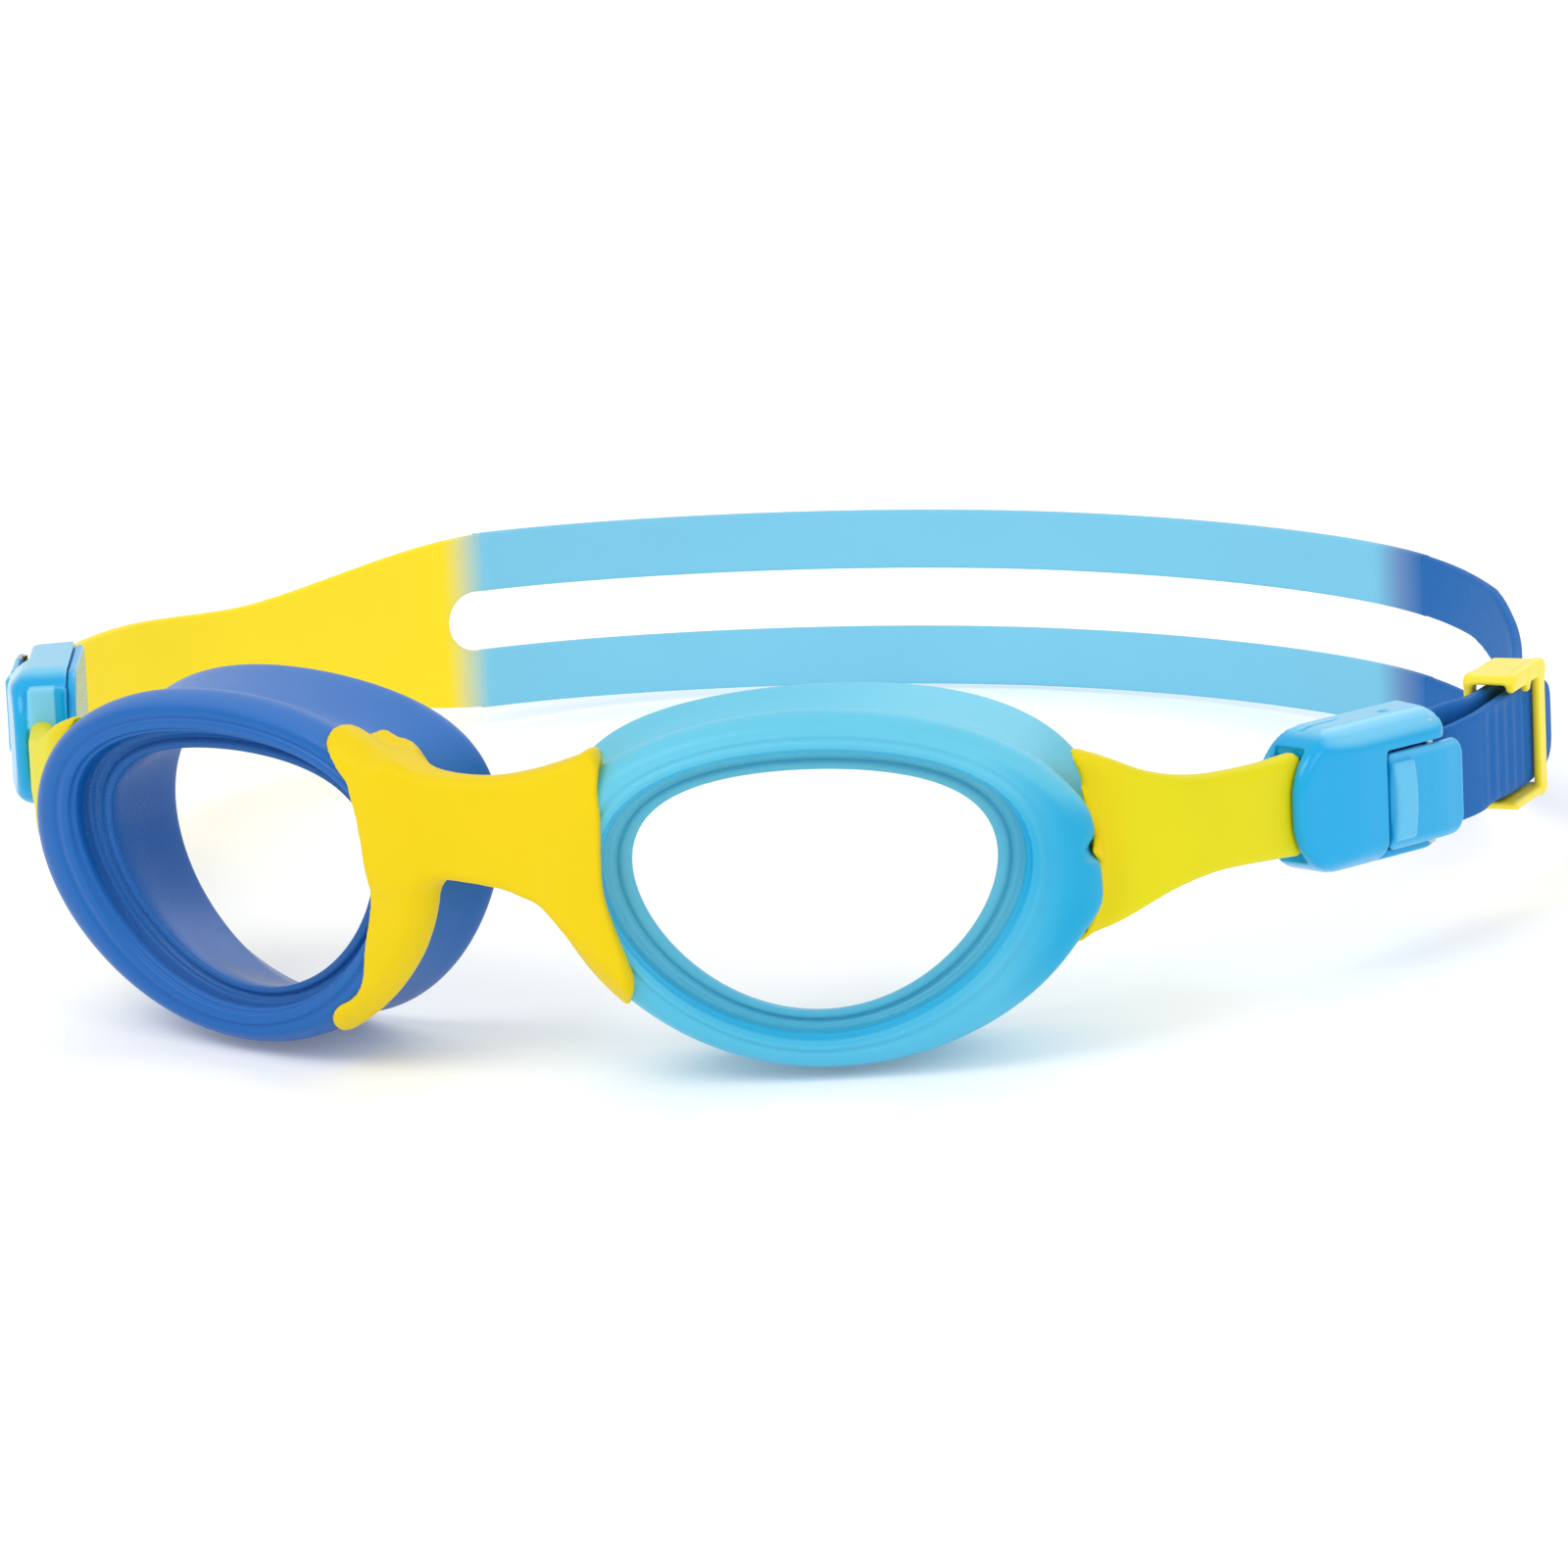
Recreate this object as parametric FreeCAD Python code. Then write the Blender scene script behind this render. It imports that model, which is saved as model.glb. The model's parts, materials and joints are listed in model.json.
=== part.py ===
import FreeCAD, Part
import math
import os
from collections import namedtuple
from FreeCAD import Vector

# Swim goggles: two soft eyecups with clear lenses, a soft nose bridge, temple arms, two clip
# buckles with release levers, and one moulded strap that splits into two bands at the back.
#
# Everything is first drawn in the worn pose: Y = 0 is the plane of the lens fronts, +Y runs back
# over the head, +Z is up, Z = 0 is the height of the eyecup centres, and the strap is level.
# The wearer's left is +X.  At the end the whole object is tipped back by rest_tilt about X, so that
# the eyecups and the back of the strap both rest on Z = 0, and the origin moves to the middle of
# the footprint.

# ---- driving dimensions, millimetres and degrees -------------------------------------------------
cup_spread = 36.9          # eyecup centre from the mid-plane
cup_yaw = 18.15            # each cup faces outward by this
cup_pitch = 4.27           # and down by this in the worn pose
seat_depth = 3.1           # lens seat behind the lip
rim_depth = 3.0            # widest line of the front rim
waist_depth = 9.0
opening_nose = 8.34        # depth of the face-side opening at the nose and at the temple
opening_temple = 15.89
seal_nose = 17.0           # depth of the face seal's edge at the nose and at the temple
seal_temple = 19.72
seal_lip = 1.3

strap_thick = 1.3
strip_height = 13.2        # single strip at each end
strap_mid = 3.65           # height of the strap's centre line
band_outer = 11.55         # outer edges of the two bands above and below the centre line
split_half = 3.9           # half height of the gap between the bands
split_start = 90.3         # gap's rounded end on the wearer's right, from the buckle centre
merge_end = 50.0           # where the bands join on the wearer's left
band_joint = 98.0          # flexing line of each band
slide_at = 33.5            # keeper's middle from the buckle centre
slide_half_long = 6.4
slide_half_high = 8.1
slide_raise = 0.2          # keeper's middle above the strap's
slide_out = 3.1            # half thickness over its bars
slide_rail = 1.1
slide_bar = 0.95           # bar thickness; the bars are 2.6 mm wide
slide_bar_wide = 2.6
tail_end = 46.0
tail_below = 6.5           # the loose end is a little lower than the strip it lies on
tail_above = 5.9
inner_layer = -2.2         # the two strap layers inside the buckle, from the loop line
outer_layer = 0.8
layer_apart = 1.15         # and each side of the loop line behind it
leave_buckle = 13.5
layers_meet = 21.0         # the two layers lie together from here
left_widens = 43.0         # the left strip widens between these
left_wide = 70.0
left_gap_wide = 80.0
left_centred = 58.0        # and has come out to the loop line here
right_centred = 40.0
right_widens = 62.0
right_wide = 100.0
tail_leaves = 40.0         # the loose end stands off behind the keeper
tail_stand_off = 2.4
stub_end = 4.5             # the right strap's short return behind its post
leg_overrun = 4.0          # the legs and bands run past the flexing line before they are cut
band_overrun = 7.0
strip_step = 4.0           # distance between the strap's stations
band_step = 6.0

buckle_x = 85.0
buckle_y = 52.4
buckle_yaw = 23.3          # plan angle of the buckle from straight back
buckle_front = 15.0        # from the buckle centre to each end
buckle_rear = 11.0
buckle_half = 8.5          # half height
buckle_out = 4.4           # half thickness
bevel_out = 2.0            # the long edges of the outer face are bevelled from here outward
bevel_down = 2.1
buckle_front_r = 6.0       # corner radii seen from the side
buckle_rear_r = 2.5
wall = 1.3
face_wall = 1.4
cover_thick = 1.2
right_lift = 2.5           # the wearer's right buckle lies this much higher

arm_joint_y = 29.6         # flexing line of the temple arms
arm_joint_z = 4.0
arm_r = 5.75               # half height of the arm there
joint_gap = 0.4            # free gap at each soft flexing line
fit = 0.03                 # radial clearance of a pin fixed in its own body
run = 0.05                 # radial clearance of the lever on its pin
overlap = 0.05             # bite between two forms that are fused
reach = 150                # half size of the cutting blocks, beyond the whole object

post_at = 0.5              # strap post from the buckle centre
post_out = -0.7
post_r = 0.8
lever_at = 7.2             # lever pin
lever_out = 3.1
lever_pin_r = 0.6
lever_pin_half = 7.3       # half length; its ends stay inside the bevelled housing
lever_front = -0.8         # the lever plate along the strap, outward, and up
lever_tip = 12.8
lever_in = 3.2
lever_face = 4.2
lever_low = -7.2
lever_high = 4.6
lever_barrel_r = 1.25
ridge_end = 3.0            # thumb ridge on the plate's front
ridge_face = 5.0
pawl_at = 9.6              # clamping edge under the plate
pawl_thick = 1.1
pawl_in = 1.8
spring_thick = 0.55

arm_pin_at = -8.5
arm_pin_out = -0.3
arm_pin_r = 0.9
tongue_end = -5.2          # the arm's tongue inside the buckle
tongue_in = -1.9
tongue_face = 1.3
tongue_half = 6.5
mouth_gap = 0.35

rest_tilt = 4.76
rest_raise = 21.54         # eyecup centre above the surface after tipping
rest_back = 77.5           # footprint's middle behind the lens plane

# ---- egg outlines --------------------------------------------------------------------------------
# Half width a and half height b; lift raises both ends of the outline, and skew lowers the temple
# end against the nose end; du and dv shift it.
Egg = namedtuple("Egg", "a b lift skew du dv")
lip = Egg(25.3, 17.7, 3.6, -0.1, 0.0, 0.15)
crown = Egg(28.7, 19.6, 3.2, 0.5, 0.6, 0.15)
rim = Egg(30.9, 20.86, 2.92, 0.92, 0.91, 0.15)
waist = Egg(29.2, 19.4, 3.9, 1.1, 1.0, -0.1)
seal = Egg(30.4, 20.84, 4.98, 1.28, 1.2, -0.58)
seal_inner = Egg(29.1, 19.5, 4.9, 1.28, 1.2, -0.55)
seat = Egg(23.97, 16.43, 3.68, -0.30, -0.24, 0.19)
aperture = Egg(20.67, 14.22, 3.80, -0.02, -0.23, -0.15)
opening = Egg(22.26, 17.68, 2.66, 1.41, -0.40, 0.20)
lens_edge = Egg(23.87, 16.33, 3.68, -0.30, -0.24, 0.19)
lens_dome = Egg(22.3, 15.1, 3.72, -0.25, -0.24, 0.15)
egg_points = 28

bridge_skin = 1.0          # the bridge's wings over the cups
bridge_round_lens = 0.6    # their gap round the lens seat
bridge_wing_end = 8.0      # depth to which the wings run down the cups' sides
bridge_bar_front = -9.6    # plan position and thickness of the bar between the cups
bridge_bar_thick = 5.2

X_AXIS = Vector(1, 0, 0)
Y_AXIS = Vector(0, 1, 0)
Z_AXIS = Vector(0, 0, 1)
ORIGIN = Vector(0, 0, 0)


def grow(egg, by):
    return egg._replace(a=egg.a + by, b=egg.b + by)


def egg_at(egg, angle):
    c = math.cos(angle)
    return egg.a * c + egg.du, egg.b * math.sin(angle) + c * c * (egg.lift - egg.skew * c) + egg.dv


def cup_axes():
    yaw = math.radians(cup_yaw)
    pitch = math.radians(cup_pitch)
    front = Vector(math.sin(yaw), -math.cos(yaw), 0)
    across = Vector(math.cos(yaw), math.sin(yaw), 0)
    up = Z_AXIS * math.cos(pitch) + front * math.sin(pitch)
    return across, up, front * math.cos(pitch) - Z_AXIS * math.sin(pitch)


def cup_point(u, v, depth):
    across, up, front = cup_axes()
    return Vector(cup_spread, 0, 0) + across * u + up * v - front * depth


def egg_wire(egg, nose_depth, temple_depth=None):
    """One closed outline; its plane may lean back from the nose to the temple."""
    if temple_depth is None:
        temple_depth = nose_depth
    points = []
    for i in range(egg_points):
        u, v = egg_at(egg, 2 * math.pi * i / egg_points)
        share = (u - egg.du + egg.a) / (2 * egg.a)
        points.append(cup_point(u, v, nose_depth + (temple_depth - nose_depth) * share))
    curve = Part.BSplineCurve()
    curve.interpolate(Points=points, PeriodicFlag=True)
    return Part.Wire([curve.toShape()])


def stack(*wires):
    return Part.makeLoft(list(wires), True, True)


def mirrored(shape):
    return shape.mirror(ORIGIN, X_AXIS)


def turned_over(shape):
    """The same moulding on the other side: half a turn about the fore-and-aft line of the strap."""
    turned = shape.copy()
    turned.rotate(Vector(0, 0, strap_mid), Y_AXIS, 180)
    return turned


# ---- eyecups and lenses --------------------------------------------------------------------------
def cup_outside(extra=0.0, front=0.0):
    """The cup's outer form as a plug, optionally grown; the bridge and arms are cut by it."""
    return stack(
        egg_wire(grow(lip, extra), front),
        egg_wire(grow(crown, extra), 0.7 + front),
        egg_wire(grow(rim, extra), rim_depth),
        egg_wire(grow(waist, extra), waist_depth),
        egg_wire(grow(seal, extra), seal_nose - seal_lip, seal_temple - seal_lip),
        egg_wire(grow(seal, extra), seal_nose, seal_temple),
    )


def eyecup():
    pocket = stack(egg_wire(seat, -1.0), egg_wire(seat, seat_depth))
    window = stack(egg_wire(aperture, seat_depth - 0.5), egg_wire(aperture, 5.0))
    inner = stack(egg_wire(aperture, 5.0), egg_wire(opening, opening_nose, opening_temple))
    flare = stack(
        egg_wire(opening, opening_nose, opening_temple),
        egg_wire(seal_inner, seal_nose, seal_temple),
        egg_wire(seal_inner, seal_nose + 2, seal_temple + 2),
    )
    return cup_outside().cut([pocket, window, inner, flare])


def lens():
    return stack(
        egg_wire(lens_dome, 0.5),
        egg_wire(lens_edge, 1.3),
        egg_wire(lens_edge, seat_depth),
    )


# ---- nose bridge ---------------------------------------------------------------------------------
def cup_prism(points, depth_from, depth_to):
    """A closed polygon in the cup's own (u, v), run through a range of depths."""
    base = Part.Face(Part.makePolygon([cup_point(u, v, depth_from) for u, v in points + points[:1]]))
    front = cup_axes()[2]
    return base.extrude(front * -(depth_to - depth_from))


def bridge():
    """Two wings over the noses' sides of the cups, joined by a short waisted bar."""
    wing_area = [(-24.0, 19.5), (-17.0, 21.5), (-16.0, 16.0), (-21.0, 14.0), (-22.6, 8.0), (-22.6, 1.0),
                 (-21.0, -6.0), (-18.5, -12.0), (-13.0, -15.0), (-14.5, -20.0), (-22.0, -19.0),
                 (-40.0, -8.0), (-40.0, 16.0)]
    bar_top = [(-overlap, 14.2), (5.5, 15.1), (10.5, 16.8)]
    bar_bottom = [(10.5, -3.7), (7.0, -1.0), (4.0, 0.4), (-overlap, 1.45)]
    round_lens = grow(seat, bridge_round_lens)
    lens_hole = stack(egg_wire(round_lens, -12.0), egg_wire(round_lens, 1.0), egg_wire(round_lens, 12.0))
    skin = cup_outside(bridge_skin, -0.6).cut(lens_hole)
    wing = skin.common(cup_prism(wing_area, -3.0, bridge_wing_end))
    edge = [Vector(x, bridge_bar_front, z) for x, z in bar_top + bar_bottom]
    bar = Part.Face(Part.makePolygon(edge + edge[:1])).extrude(Y_AXIS * bridge_bar_thick)
    half = wing.fuse(bar).cut([cup_outside(), lens_hole])
    half = max(half.Solids, key=lambda solid: solid.Volume)
    return half.fuse(mirrored(half)).removeSplitter()


# ---- strap loop ----------------------------------------------------------------------------------
buckle_along = Vector(math.sin(math.radians(buckle_yaw)), math.cos(math.radians(buckle_yaw)), 0)
buckle_outward = Vector(buckle_along.y, -buckle_along.x, 0)
buckle_mid = Vector(buckle_x, buckle_y, 0)


def loop_curve():
    """Plan line of the strap's left half, from the front of the buckle to the mid-plane."""
    straight = [buckle_mid + buckle_along * a for a in (-buckle_front, -7.5, 0.0, 7.5, 13.5)]
    back = [(91.45, 70.5), (91.7, 78), (91.7, 86), (91.2, 94), (87, 105), (80.4, 117.2), (71.3, 131),
            (60.1, 142.8), (46.4, 151.8), (31.4, 158.2), (15.7, 162.2), (0, 163.6)]
    points = straight + [Vector(x, y, 0) for x, y in back]
    curve = Part.BSplineCurve()
    curve.interpolate(Points=points, InitialTangent=buckle_along, FinalTangent=Vector(-1, 0, 0))
    return curve


loop = loop_curve()
half_loop = loop.length() - buckle_front


def blend(x, x0, x1, y0, y1):
    """Smooth step from y0 at x0 to y1 at x1."""
    t = min(max((x - x0) / (x1 - x0), 0.0), 1.0)
    return y0 + (y1 - y0) * t * t * (3 - 2 * t)


def strap_place(distance, offset):
    """Point and outward direction at a distance behind the buckle centre, past the middle as well."""
    side = 1
    if distance > half_loop:
        distance = 2 * half_loop - distance
        side = -1
    u = loop.parameterAtDistance(distance + buckle_front, loop.FirstParameter)
    point = loop.value(u)
    along = Vector(*loop.tangent(u)[0])
    out = Vector(along.y, -along.x, 0)
    point = point + out * offset
    return Vector(point.x * side, point.y, 0), Vector(out.x * side, out.y, 0)


def ribbon(start, end, step, offset_at, bottom_at, top_at, thick=strap_thick):
    """A flat strip on edge along the loop, with its own height at every station."""
    count = max(int(math.ceil((end - start) / step)), 1)
    wires = []
    for i in range(count + 1):
        s = start + (end - start) * i / count
        point, out = strap_place(s, offset_at(s))
        inner = point - out * (thick / 2)
        outer = point + out * (thick / 2)
        low = Z_AXIS * bottom_at(s)
        high = Z_AXIS * top_at(s)
        wires.append(Part.makePolygon([inner + low, outer + low, outer + high, inner + high, inner + low]))
    return Part.makeLoft(wires, True, True)


strip_half = strip_height / 2


def left_half_height(s):
    return blend(s, left_widens, left_wide, strip_half, band_outer)


def right_half_height(s):
    return blend(s, right_widens, right_wide, strip_half, band_outer)


def left_gap(s):
    return blend(s, merge_end, left_gap_wide, 0.0, split_half)


def left_offset(s):
    """The left strip hugs the inner side of the buckle and the keeper, then joins the loop line."""
    if s < tail_leaves:
        return blend(s, leave_buckle, layers_meet, inner_layer, -layer_apart)
    return blend(s, left_widens, left_centred, -layer_apart, 0.0)


def right_offset(s):
    return blend(s, leave_buckle, right_centred, inner_layer, 0.0)


def tail_offset(s):
    """Beside the strip, then standing off a little at the free end behind the keeper."""
    if s < tail_leaves:
        return blend(s, leave_buckle, layers_meet, outer_layer, layer_apart)
    return blend(s, tail_leaves, tail_end, layer_apart, tail_stand_off)


def right_lift_at(s):
    return blend(s, leave_buckle, right_widens, right_lift, 0.0)


def hinge_point(mid_z):
    point, _ = strap_place(band_joint, 0.0)
    return Vector(0, point.y, mid_z)


def roller(mid_z, radius):
    """A cylinder across the whole object on a flexing line of the bands."""
    centre = hinge_point(mid_z)
    return Part.makeCylinder(radius, 2 * reach, Vector(-reach, centre.y, centre.z), X_AXIS)


band_mid = (band_outer + split_half) / 2
band_r = (band_outer - split_half) / 2
upper_mid = strap_mid + band_mid
lower_mid = strap_mid - band_mid


def behind(y):
    return Part.makeBox(2 * reach, 2 * reach, 2 * reach, Vector(-reach, y, -reach))


def band(mid_z):
    first = band_joint - band_overrun
    body = ribbon(first, 2 * half_loop - first, band_step, lambda s: 0.0,
                  lambda s: mid_z - band_r, lambda s: mid_z + band_r)
    keep = behind(hinge_point(mid_z).y).fuse(roller(mid_z, band_r))
    return body.common(keep)


def without_bands(body):
    """Cut the ends of the strap's legs so that the bands can flex up and down."""
    body = body.cut(behind(hinge_point(upper_mid).y - 0.15))
    return body.cut([roller(upper_mid, band_r + joint_gap), roller(lower_mid, band_r + joint_gap)])


def turn_round_post(height_low, height_high):
    """Half ring of strap round the post, open towards the back of the head."""
    centre = buckle_mid + buckle_along * post_at + buckle_outward * post_out
    inner_r = post_r + run
    outer_r = inner_r + strap_thick
    tall = height_high - height_low
    base = centre + Z_AXIS * height_low
    ring = Part.makeCylinder(outer_r, tall, base, Z_AXIS)
    ring = ring.cut(Part.makeCylinder(inner_r, tall, base, Z_AXIS))
    cutter = Part.makeBox(20, 20, 60, Vector(0, -10, -30))
    cutter.rotate(ORIGIN, Z_AXIS, 90 - buckle_yaw)
    cutter.translate(centre)
    return ring.cut(cutter)


def strap_left_end():
    low_leg = ribbon(merge_end, band_joint + leg_overrun, strip_step, left_offset,
                     lambda s: strap_mid - left_half_height(s), lambda s: strap_mid - left_gap(s))
    high_leg = ribbon(merge_end, band_joint + leg_overrun, strip_step, left_offset,
                      lambda s: strap_mid + left_gap(s), lambda s: strap_mid + left_half_height(s))
    strip = ribbon(post_at + overlap, merge_end, strip_step, left_offset,
                   lambda s: strap_mid - left_half_height(s), lambda s: strap_mid + left_half_height(s))
    return without_bands(strip.fuse([low_leg, high_leg]))


def strap_tail():
    low = strap_mid - tail_below
    high = strap_mid + tail_above
    outer = ribbon(post_at - overlap, tail_end, strip_step, tail_offset, lambda s: low, lambda s: high)
    return turn_round_post(low, high).fuse(outer)


def strap_right_end():
    """Drawn on the +X side and mirrored: the plain strip, its widening and the split's rounded end."""
    body = ribbon(post_at - overlap, band_joint + leg_overrun, strip_step, right_offset,
                  lambda s: strap_mid + right_lift_at(s) - right_half_height(s),
                  lambda s: strap_mid + right_lift_at(s) + right_half_height(s))
    centre, out = strap_place(split_start + split_half, 0.0)
    far, _ = strap_place(band_joint + 12, 0.0)
    cut_end = Part.makeCylinder(split_half, 30, centre + Z_AXIS * strap_mid - out * 15, out)
    slot = Part.makeBox(30, 30, 2 * split_half, Vector(0, -15, strap_mid - split_half))
    turn = math.degrees(math.atan2(far.y - centre.y, far.x - centre.x))
    slot.rotate(ORIGIN, Z_AXIS, turn)
    slot.translate(centre)
    body = without_bands(body.cut([cut_end, slot]))
    low = strap_mid + right_lift - strip_half
    high = strap_mid + right_lift + strip_half
    stub = ribbon(post_at - overlap, stub_end, strip_step, tail_offset, lambda s: low, lambda s: high)
    return mirrored(body.fuse([turn_round_post(low, high), stub]))


# ---- buckles -------------------------------------------------------------------------------------
def buckle_box(a0, a1, o0, o1, z0, z1):
    """A block in the buckle's own axes: along the strap, outward, and up from the buckle's middle."""
    start = buckle_mid + buckle_along * a0 + buckle_outward * o0 + Z_AXIS * (strap_mid + z0)
    length = buckle_along * (a1 - a0)
    depth = buckle_outward * (o1 - o0)
    outline = [start, start + length, start + length + depth, start + depth, start]
    return Part.Face(Part.makePolygon(outline)).extrude(Z_AXIS * (z1 - z0))


def buckle_pin(at, out, radius, half=buckle_half - 0.3):
    base = buckle_mid + buckle_along * at + buckle_outward * out + Z_AXIS * (strap_mid - half)
    return Part.makeCylinder(radius, 2 * half, base, Z_AXIS)


def buckle_outline(a0, a1, half, front_r, rear_r, out_from, out_to):
    """A plate seen from the side of the head: rounded front end, smaller corners at the rear."""
    def at(a, z):
        return buckle_mid + buckle_along * a + buckle_outward * out_from + Z_AXIS * (strap_mid + z)

    def corner(a, z, radius, da, dz):
        k = 1 - math.sqrt(0.5)
        return Part.Arc(at(a + da * radius, z), at(a + da * radius * k, z + dz * radius * k),
                        at(a, z + dz * radius)).toShape()

    arcs = [corner(a0, half, front_r, 1, -1), corner(a0, -half, front_r, 1, 1),
            corner(a1, -half, rear_r, -1, 1), corner(a1, half, rear_r, -1, -1)]
    edges = []
    edges.append(arcs[0])
    edges.append(Part.makeLine(at(a0, half - front_r), at(a0, front_r - half)))
    edges.append(arcs[1])
    edges.append(Part.makeLine(at(a0 + front_r, -half), at(a1 - rear_r, -half)))
    edges.append(arcs[2])
    edges.append(Part.makeLine(at(a1, rear_r - half), at(a1, half - rear_r)))
    edges.append(arcs[3])
    edges.append(Part.makeLine(at(a1 - rear_r, half), at(a0 + front_r, half)))
    wire = Part.Wire(Part.__sortEdges__(edges))
    return Part.Face(wire).extrude(buckle_outward * (out_to - out_from))


cover_out = -buckle_out + cover_thick


def post_pin(radius):
    return buckle_pin(post_at, post_out, radius)


def lever_pin(radius, half=lever_pin_half):
    return buckle_pin(lever_at, lever_out, radius, half)


def arm_pin(radius):
    return buckle_pin(arm_pin_at, arm_pin_out, radius)


def buckle_bevel():
    """A six-sided prism along the strap whose two outer slopes bevel the housing's long edges."""
    face_half = buckle_half - bevel_down
    section = [(-buckle_out, buckle_half), (bevel_out, buckle_half), (buckle_out, face_half),
               (buckle_out, -face_half), (bevel_out, -buckle_half), (-buckle_out, -buckle_half)]
    start = buckle_mid - buckle_along * (buckle_front + 1) + Z_AXIS * strap_mid
    corners = [start + buckle_outward * o + Z_AXIS * z for o, z in section]
    return Part.Face(Part.makePolygon(corners + corners[:1])).extrude(buckle_along * 30)


def buckle_housing():
    """Open on the inner side for the cover, in front for the arm, behind for the strap and lever."""
    shell = buckle_outline(-buckle_front, buckle_rear, buckle_half, buckle_front_r, buckle_rear_r,
                           cover_out, buckle_out)
    shell = shell.common(buckle_bevel())
    inside = buckle_box(wall - buckle_front, buckle_rear + 1, cover_out - 1, buckle_out - face_wall,
                        wall - buckle_half, buckle_half - wall)
    mouth_half = tongue_half + mouth_gap
    mouth = buckle_box(-buckle_front - 1, wall - buckle_front + 1, cover_out - 1, tongue_face + mouth_gap,
                       -mouth_half, mouth_half)
    bay_gap = 0.3
    lever_bay = buckle_box(lever_front - 0.5, buckle_rear + 1, 1.0, buckle_out + 1,
                           lever_low - bay_gap, lever_high + bay_gap)
    pins = [post_pin(post_r + fit), lever_pin(lever_pin_r + fit), arm_pin(arm_pin_r + fit)]
    return shell.cut([inside, mouth, lever_bay] + pins)


def buckle_cover():
    inset = 0.4
    return buckle_outline(inset - buckle_front, buckle_rear - inset, buckle_half - inset,
                          buckle_front_r - inset, buckle_rear_r - inset, -buckle_out, cover_out)


def release_lever():
    """A plate with a thumb ridge in front of its pin and a clamping edge behind it."""
    plate = buckle_box(lever_front, lever_tip, lever_in, lever_face, lever_low, lever_high)
    ridge = buckle_box(lever_front + 0.4, ridge_end, lever_face, ridge_face,
                       lever_low + 0.9, lever_high - 0.9)
    across = buckle_box(lever_at - 3, lever_at + 3, pawl_in, lever_face, lever_low, lever_high)
    barrel = lever_pin(lever_barrel_r, 20.0).common(across)
    pawl = buckle_box(pawl_at, pawl_at + pawl_thick, pawl_in, lever_in, lever_low + 1.5, lever_high - 1.5)
    return plate.fuse([ridge, barrel, pawl]).cut(lever_pin(lever_pin_r + run))


def lever_spring():
    """A small bent leaf against the inside of the housing's face, in front of the lever."""
    face = buckle_out - face_wall - 0.05
    front = lever_front - 5.2
    low = -3.6
    high = 1.0
    leaf = buckle_box(front, lever_front - 0.8, face - spring_thick, face, low, high)
    return leaf.fuse(buckle_box(front, front + spring_thick, face - spring_thick - 0.8, face - spring_thick,
                                low, high))


def arm_tongue():
    body = buckle_box(-buckle_front - overlap, tongue_end, tongue_in, tongue_face, -tongue_half, tongue_half)
    return body.cut(arm_pin(arm_pin_r + fit))


# ---- temple arms ---------------------------------------------------------------------------------
def arm(lift):
    """Whole arm: from inside the cup's temple wall to the buckle's mouth, which may be lifted."""
    # plan position, thickness, lower edge and upper edge
    stations = [(60.0, 15.0, 3.6, -6.4, 14.4), (64.8, 17.2, 3.6, -5.9, 14.0), (68.3, 20.8, 3.4, -3.6, 11.9),
                (71.6, 25.0, 3.2, -2.1, 10.2), (74.2, 29.6, 3.0, -1.75, 9.75),
                (76.8, 34.1, 3.0, -2.1 + lift / 2, 9.9 + lift / 2)]
    end = buckle_mid - buckle_along * buckle_front + buckle_outward * arm_pin_out
    middle = strap_mid + lift
    stations.append((end.x, end.y, 3.0, middle - tongue_half, middle + tongue_half))
    wires = []
    for i, (x, y, thick, low, high) in enumerate(stations):
        before = stations[max(i - 1, 0)]
        after = stations[min(i + 1, len(stations) - 1)]
        along = Vector(after[0] - before[0], after[1] - before[1], 0).normalize()
        if i == len(stations) - 1:
            along = buckle_along
        out = Vector(along.y, -along.x, 0) * (thick / 2)
        mid = Vector(x, y, 0)
        corners = [mid - out + Z_AXIS * low, mid + out + Z_AXIS * low,
                   mid + out + Z_AXIS * high, mid - out + Z_AXIS * high]
        wires.append(Part.makePolygon(corners + corners[:1]))
    return Part.makeLoft(wires, True, True)


def arm_roller(radius):
    return Part.makeCylinder(radius, reach, Vector(0, arm_joint_y, arm_joint_z), X_AXIS)


def arm_root():
    root = arm(0.0).cut([behind(arm_joint_y - 0.1), arm_roller(arm_r + joint_gap), cup_outside()])
    return max(root.Solids, key=lambda solid: solid.Volume)


def arm_end(lift):
    keep = behind(arm_joint_y).fuse(arm_roller(arm_r))
    tongue = arm_tongue()
    tongue.translate(Z_AXIS * lift)
    return arm(lift).common(keep).fuse(tongue)


# ---- keeper --------------------------------------------------------------------------------------
def strap_slide():
    """Keeper on the left strap: top and bottom rails, an inner front bar and an outer rear bar."""
    place, out = strap_place(slide_at, 0.0)
    along = Vector(-out.y, out.x, 0)

    def block(a0, a1, o0, o1, z0, z1):
        start = place + along * a0 + out * o0 + Z_AXIS * (strap_mid + slide_raise + z0)
        length = along * (a1 - a0)
        depth = out * (o1 - o0)
        outline = [start, start + length, start + length + depth, start + depth, start]
        return Part.Face(Part.makePolygon(outline)).extrude(Z_AXIS * (z1 - z0))

    rear = slide_half_long
    high = slide_half_high
    top = block(-rear, rear, -slide_out, slide_out, high - slide_rail, high)
    bottom = block(-rear, rear, -slide_out, slide_out, -high, slide_rail - high)
    front_bar = block(-rear, slide_bar_wide - rear, -slide_out, slide_bar - slide_out, -high, high)
    rear_bar = block(rear - slide_bar_wide, rear, slide_out - slide_bar, slide_out, -high, high)
    return top.fuse([bottom, front_bar, rear_bar])


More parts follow.
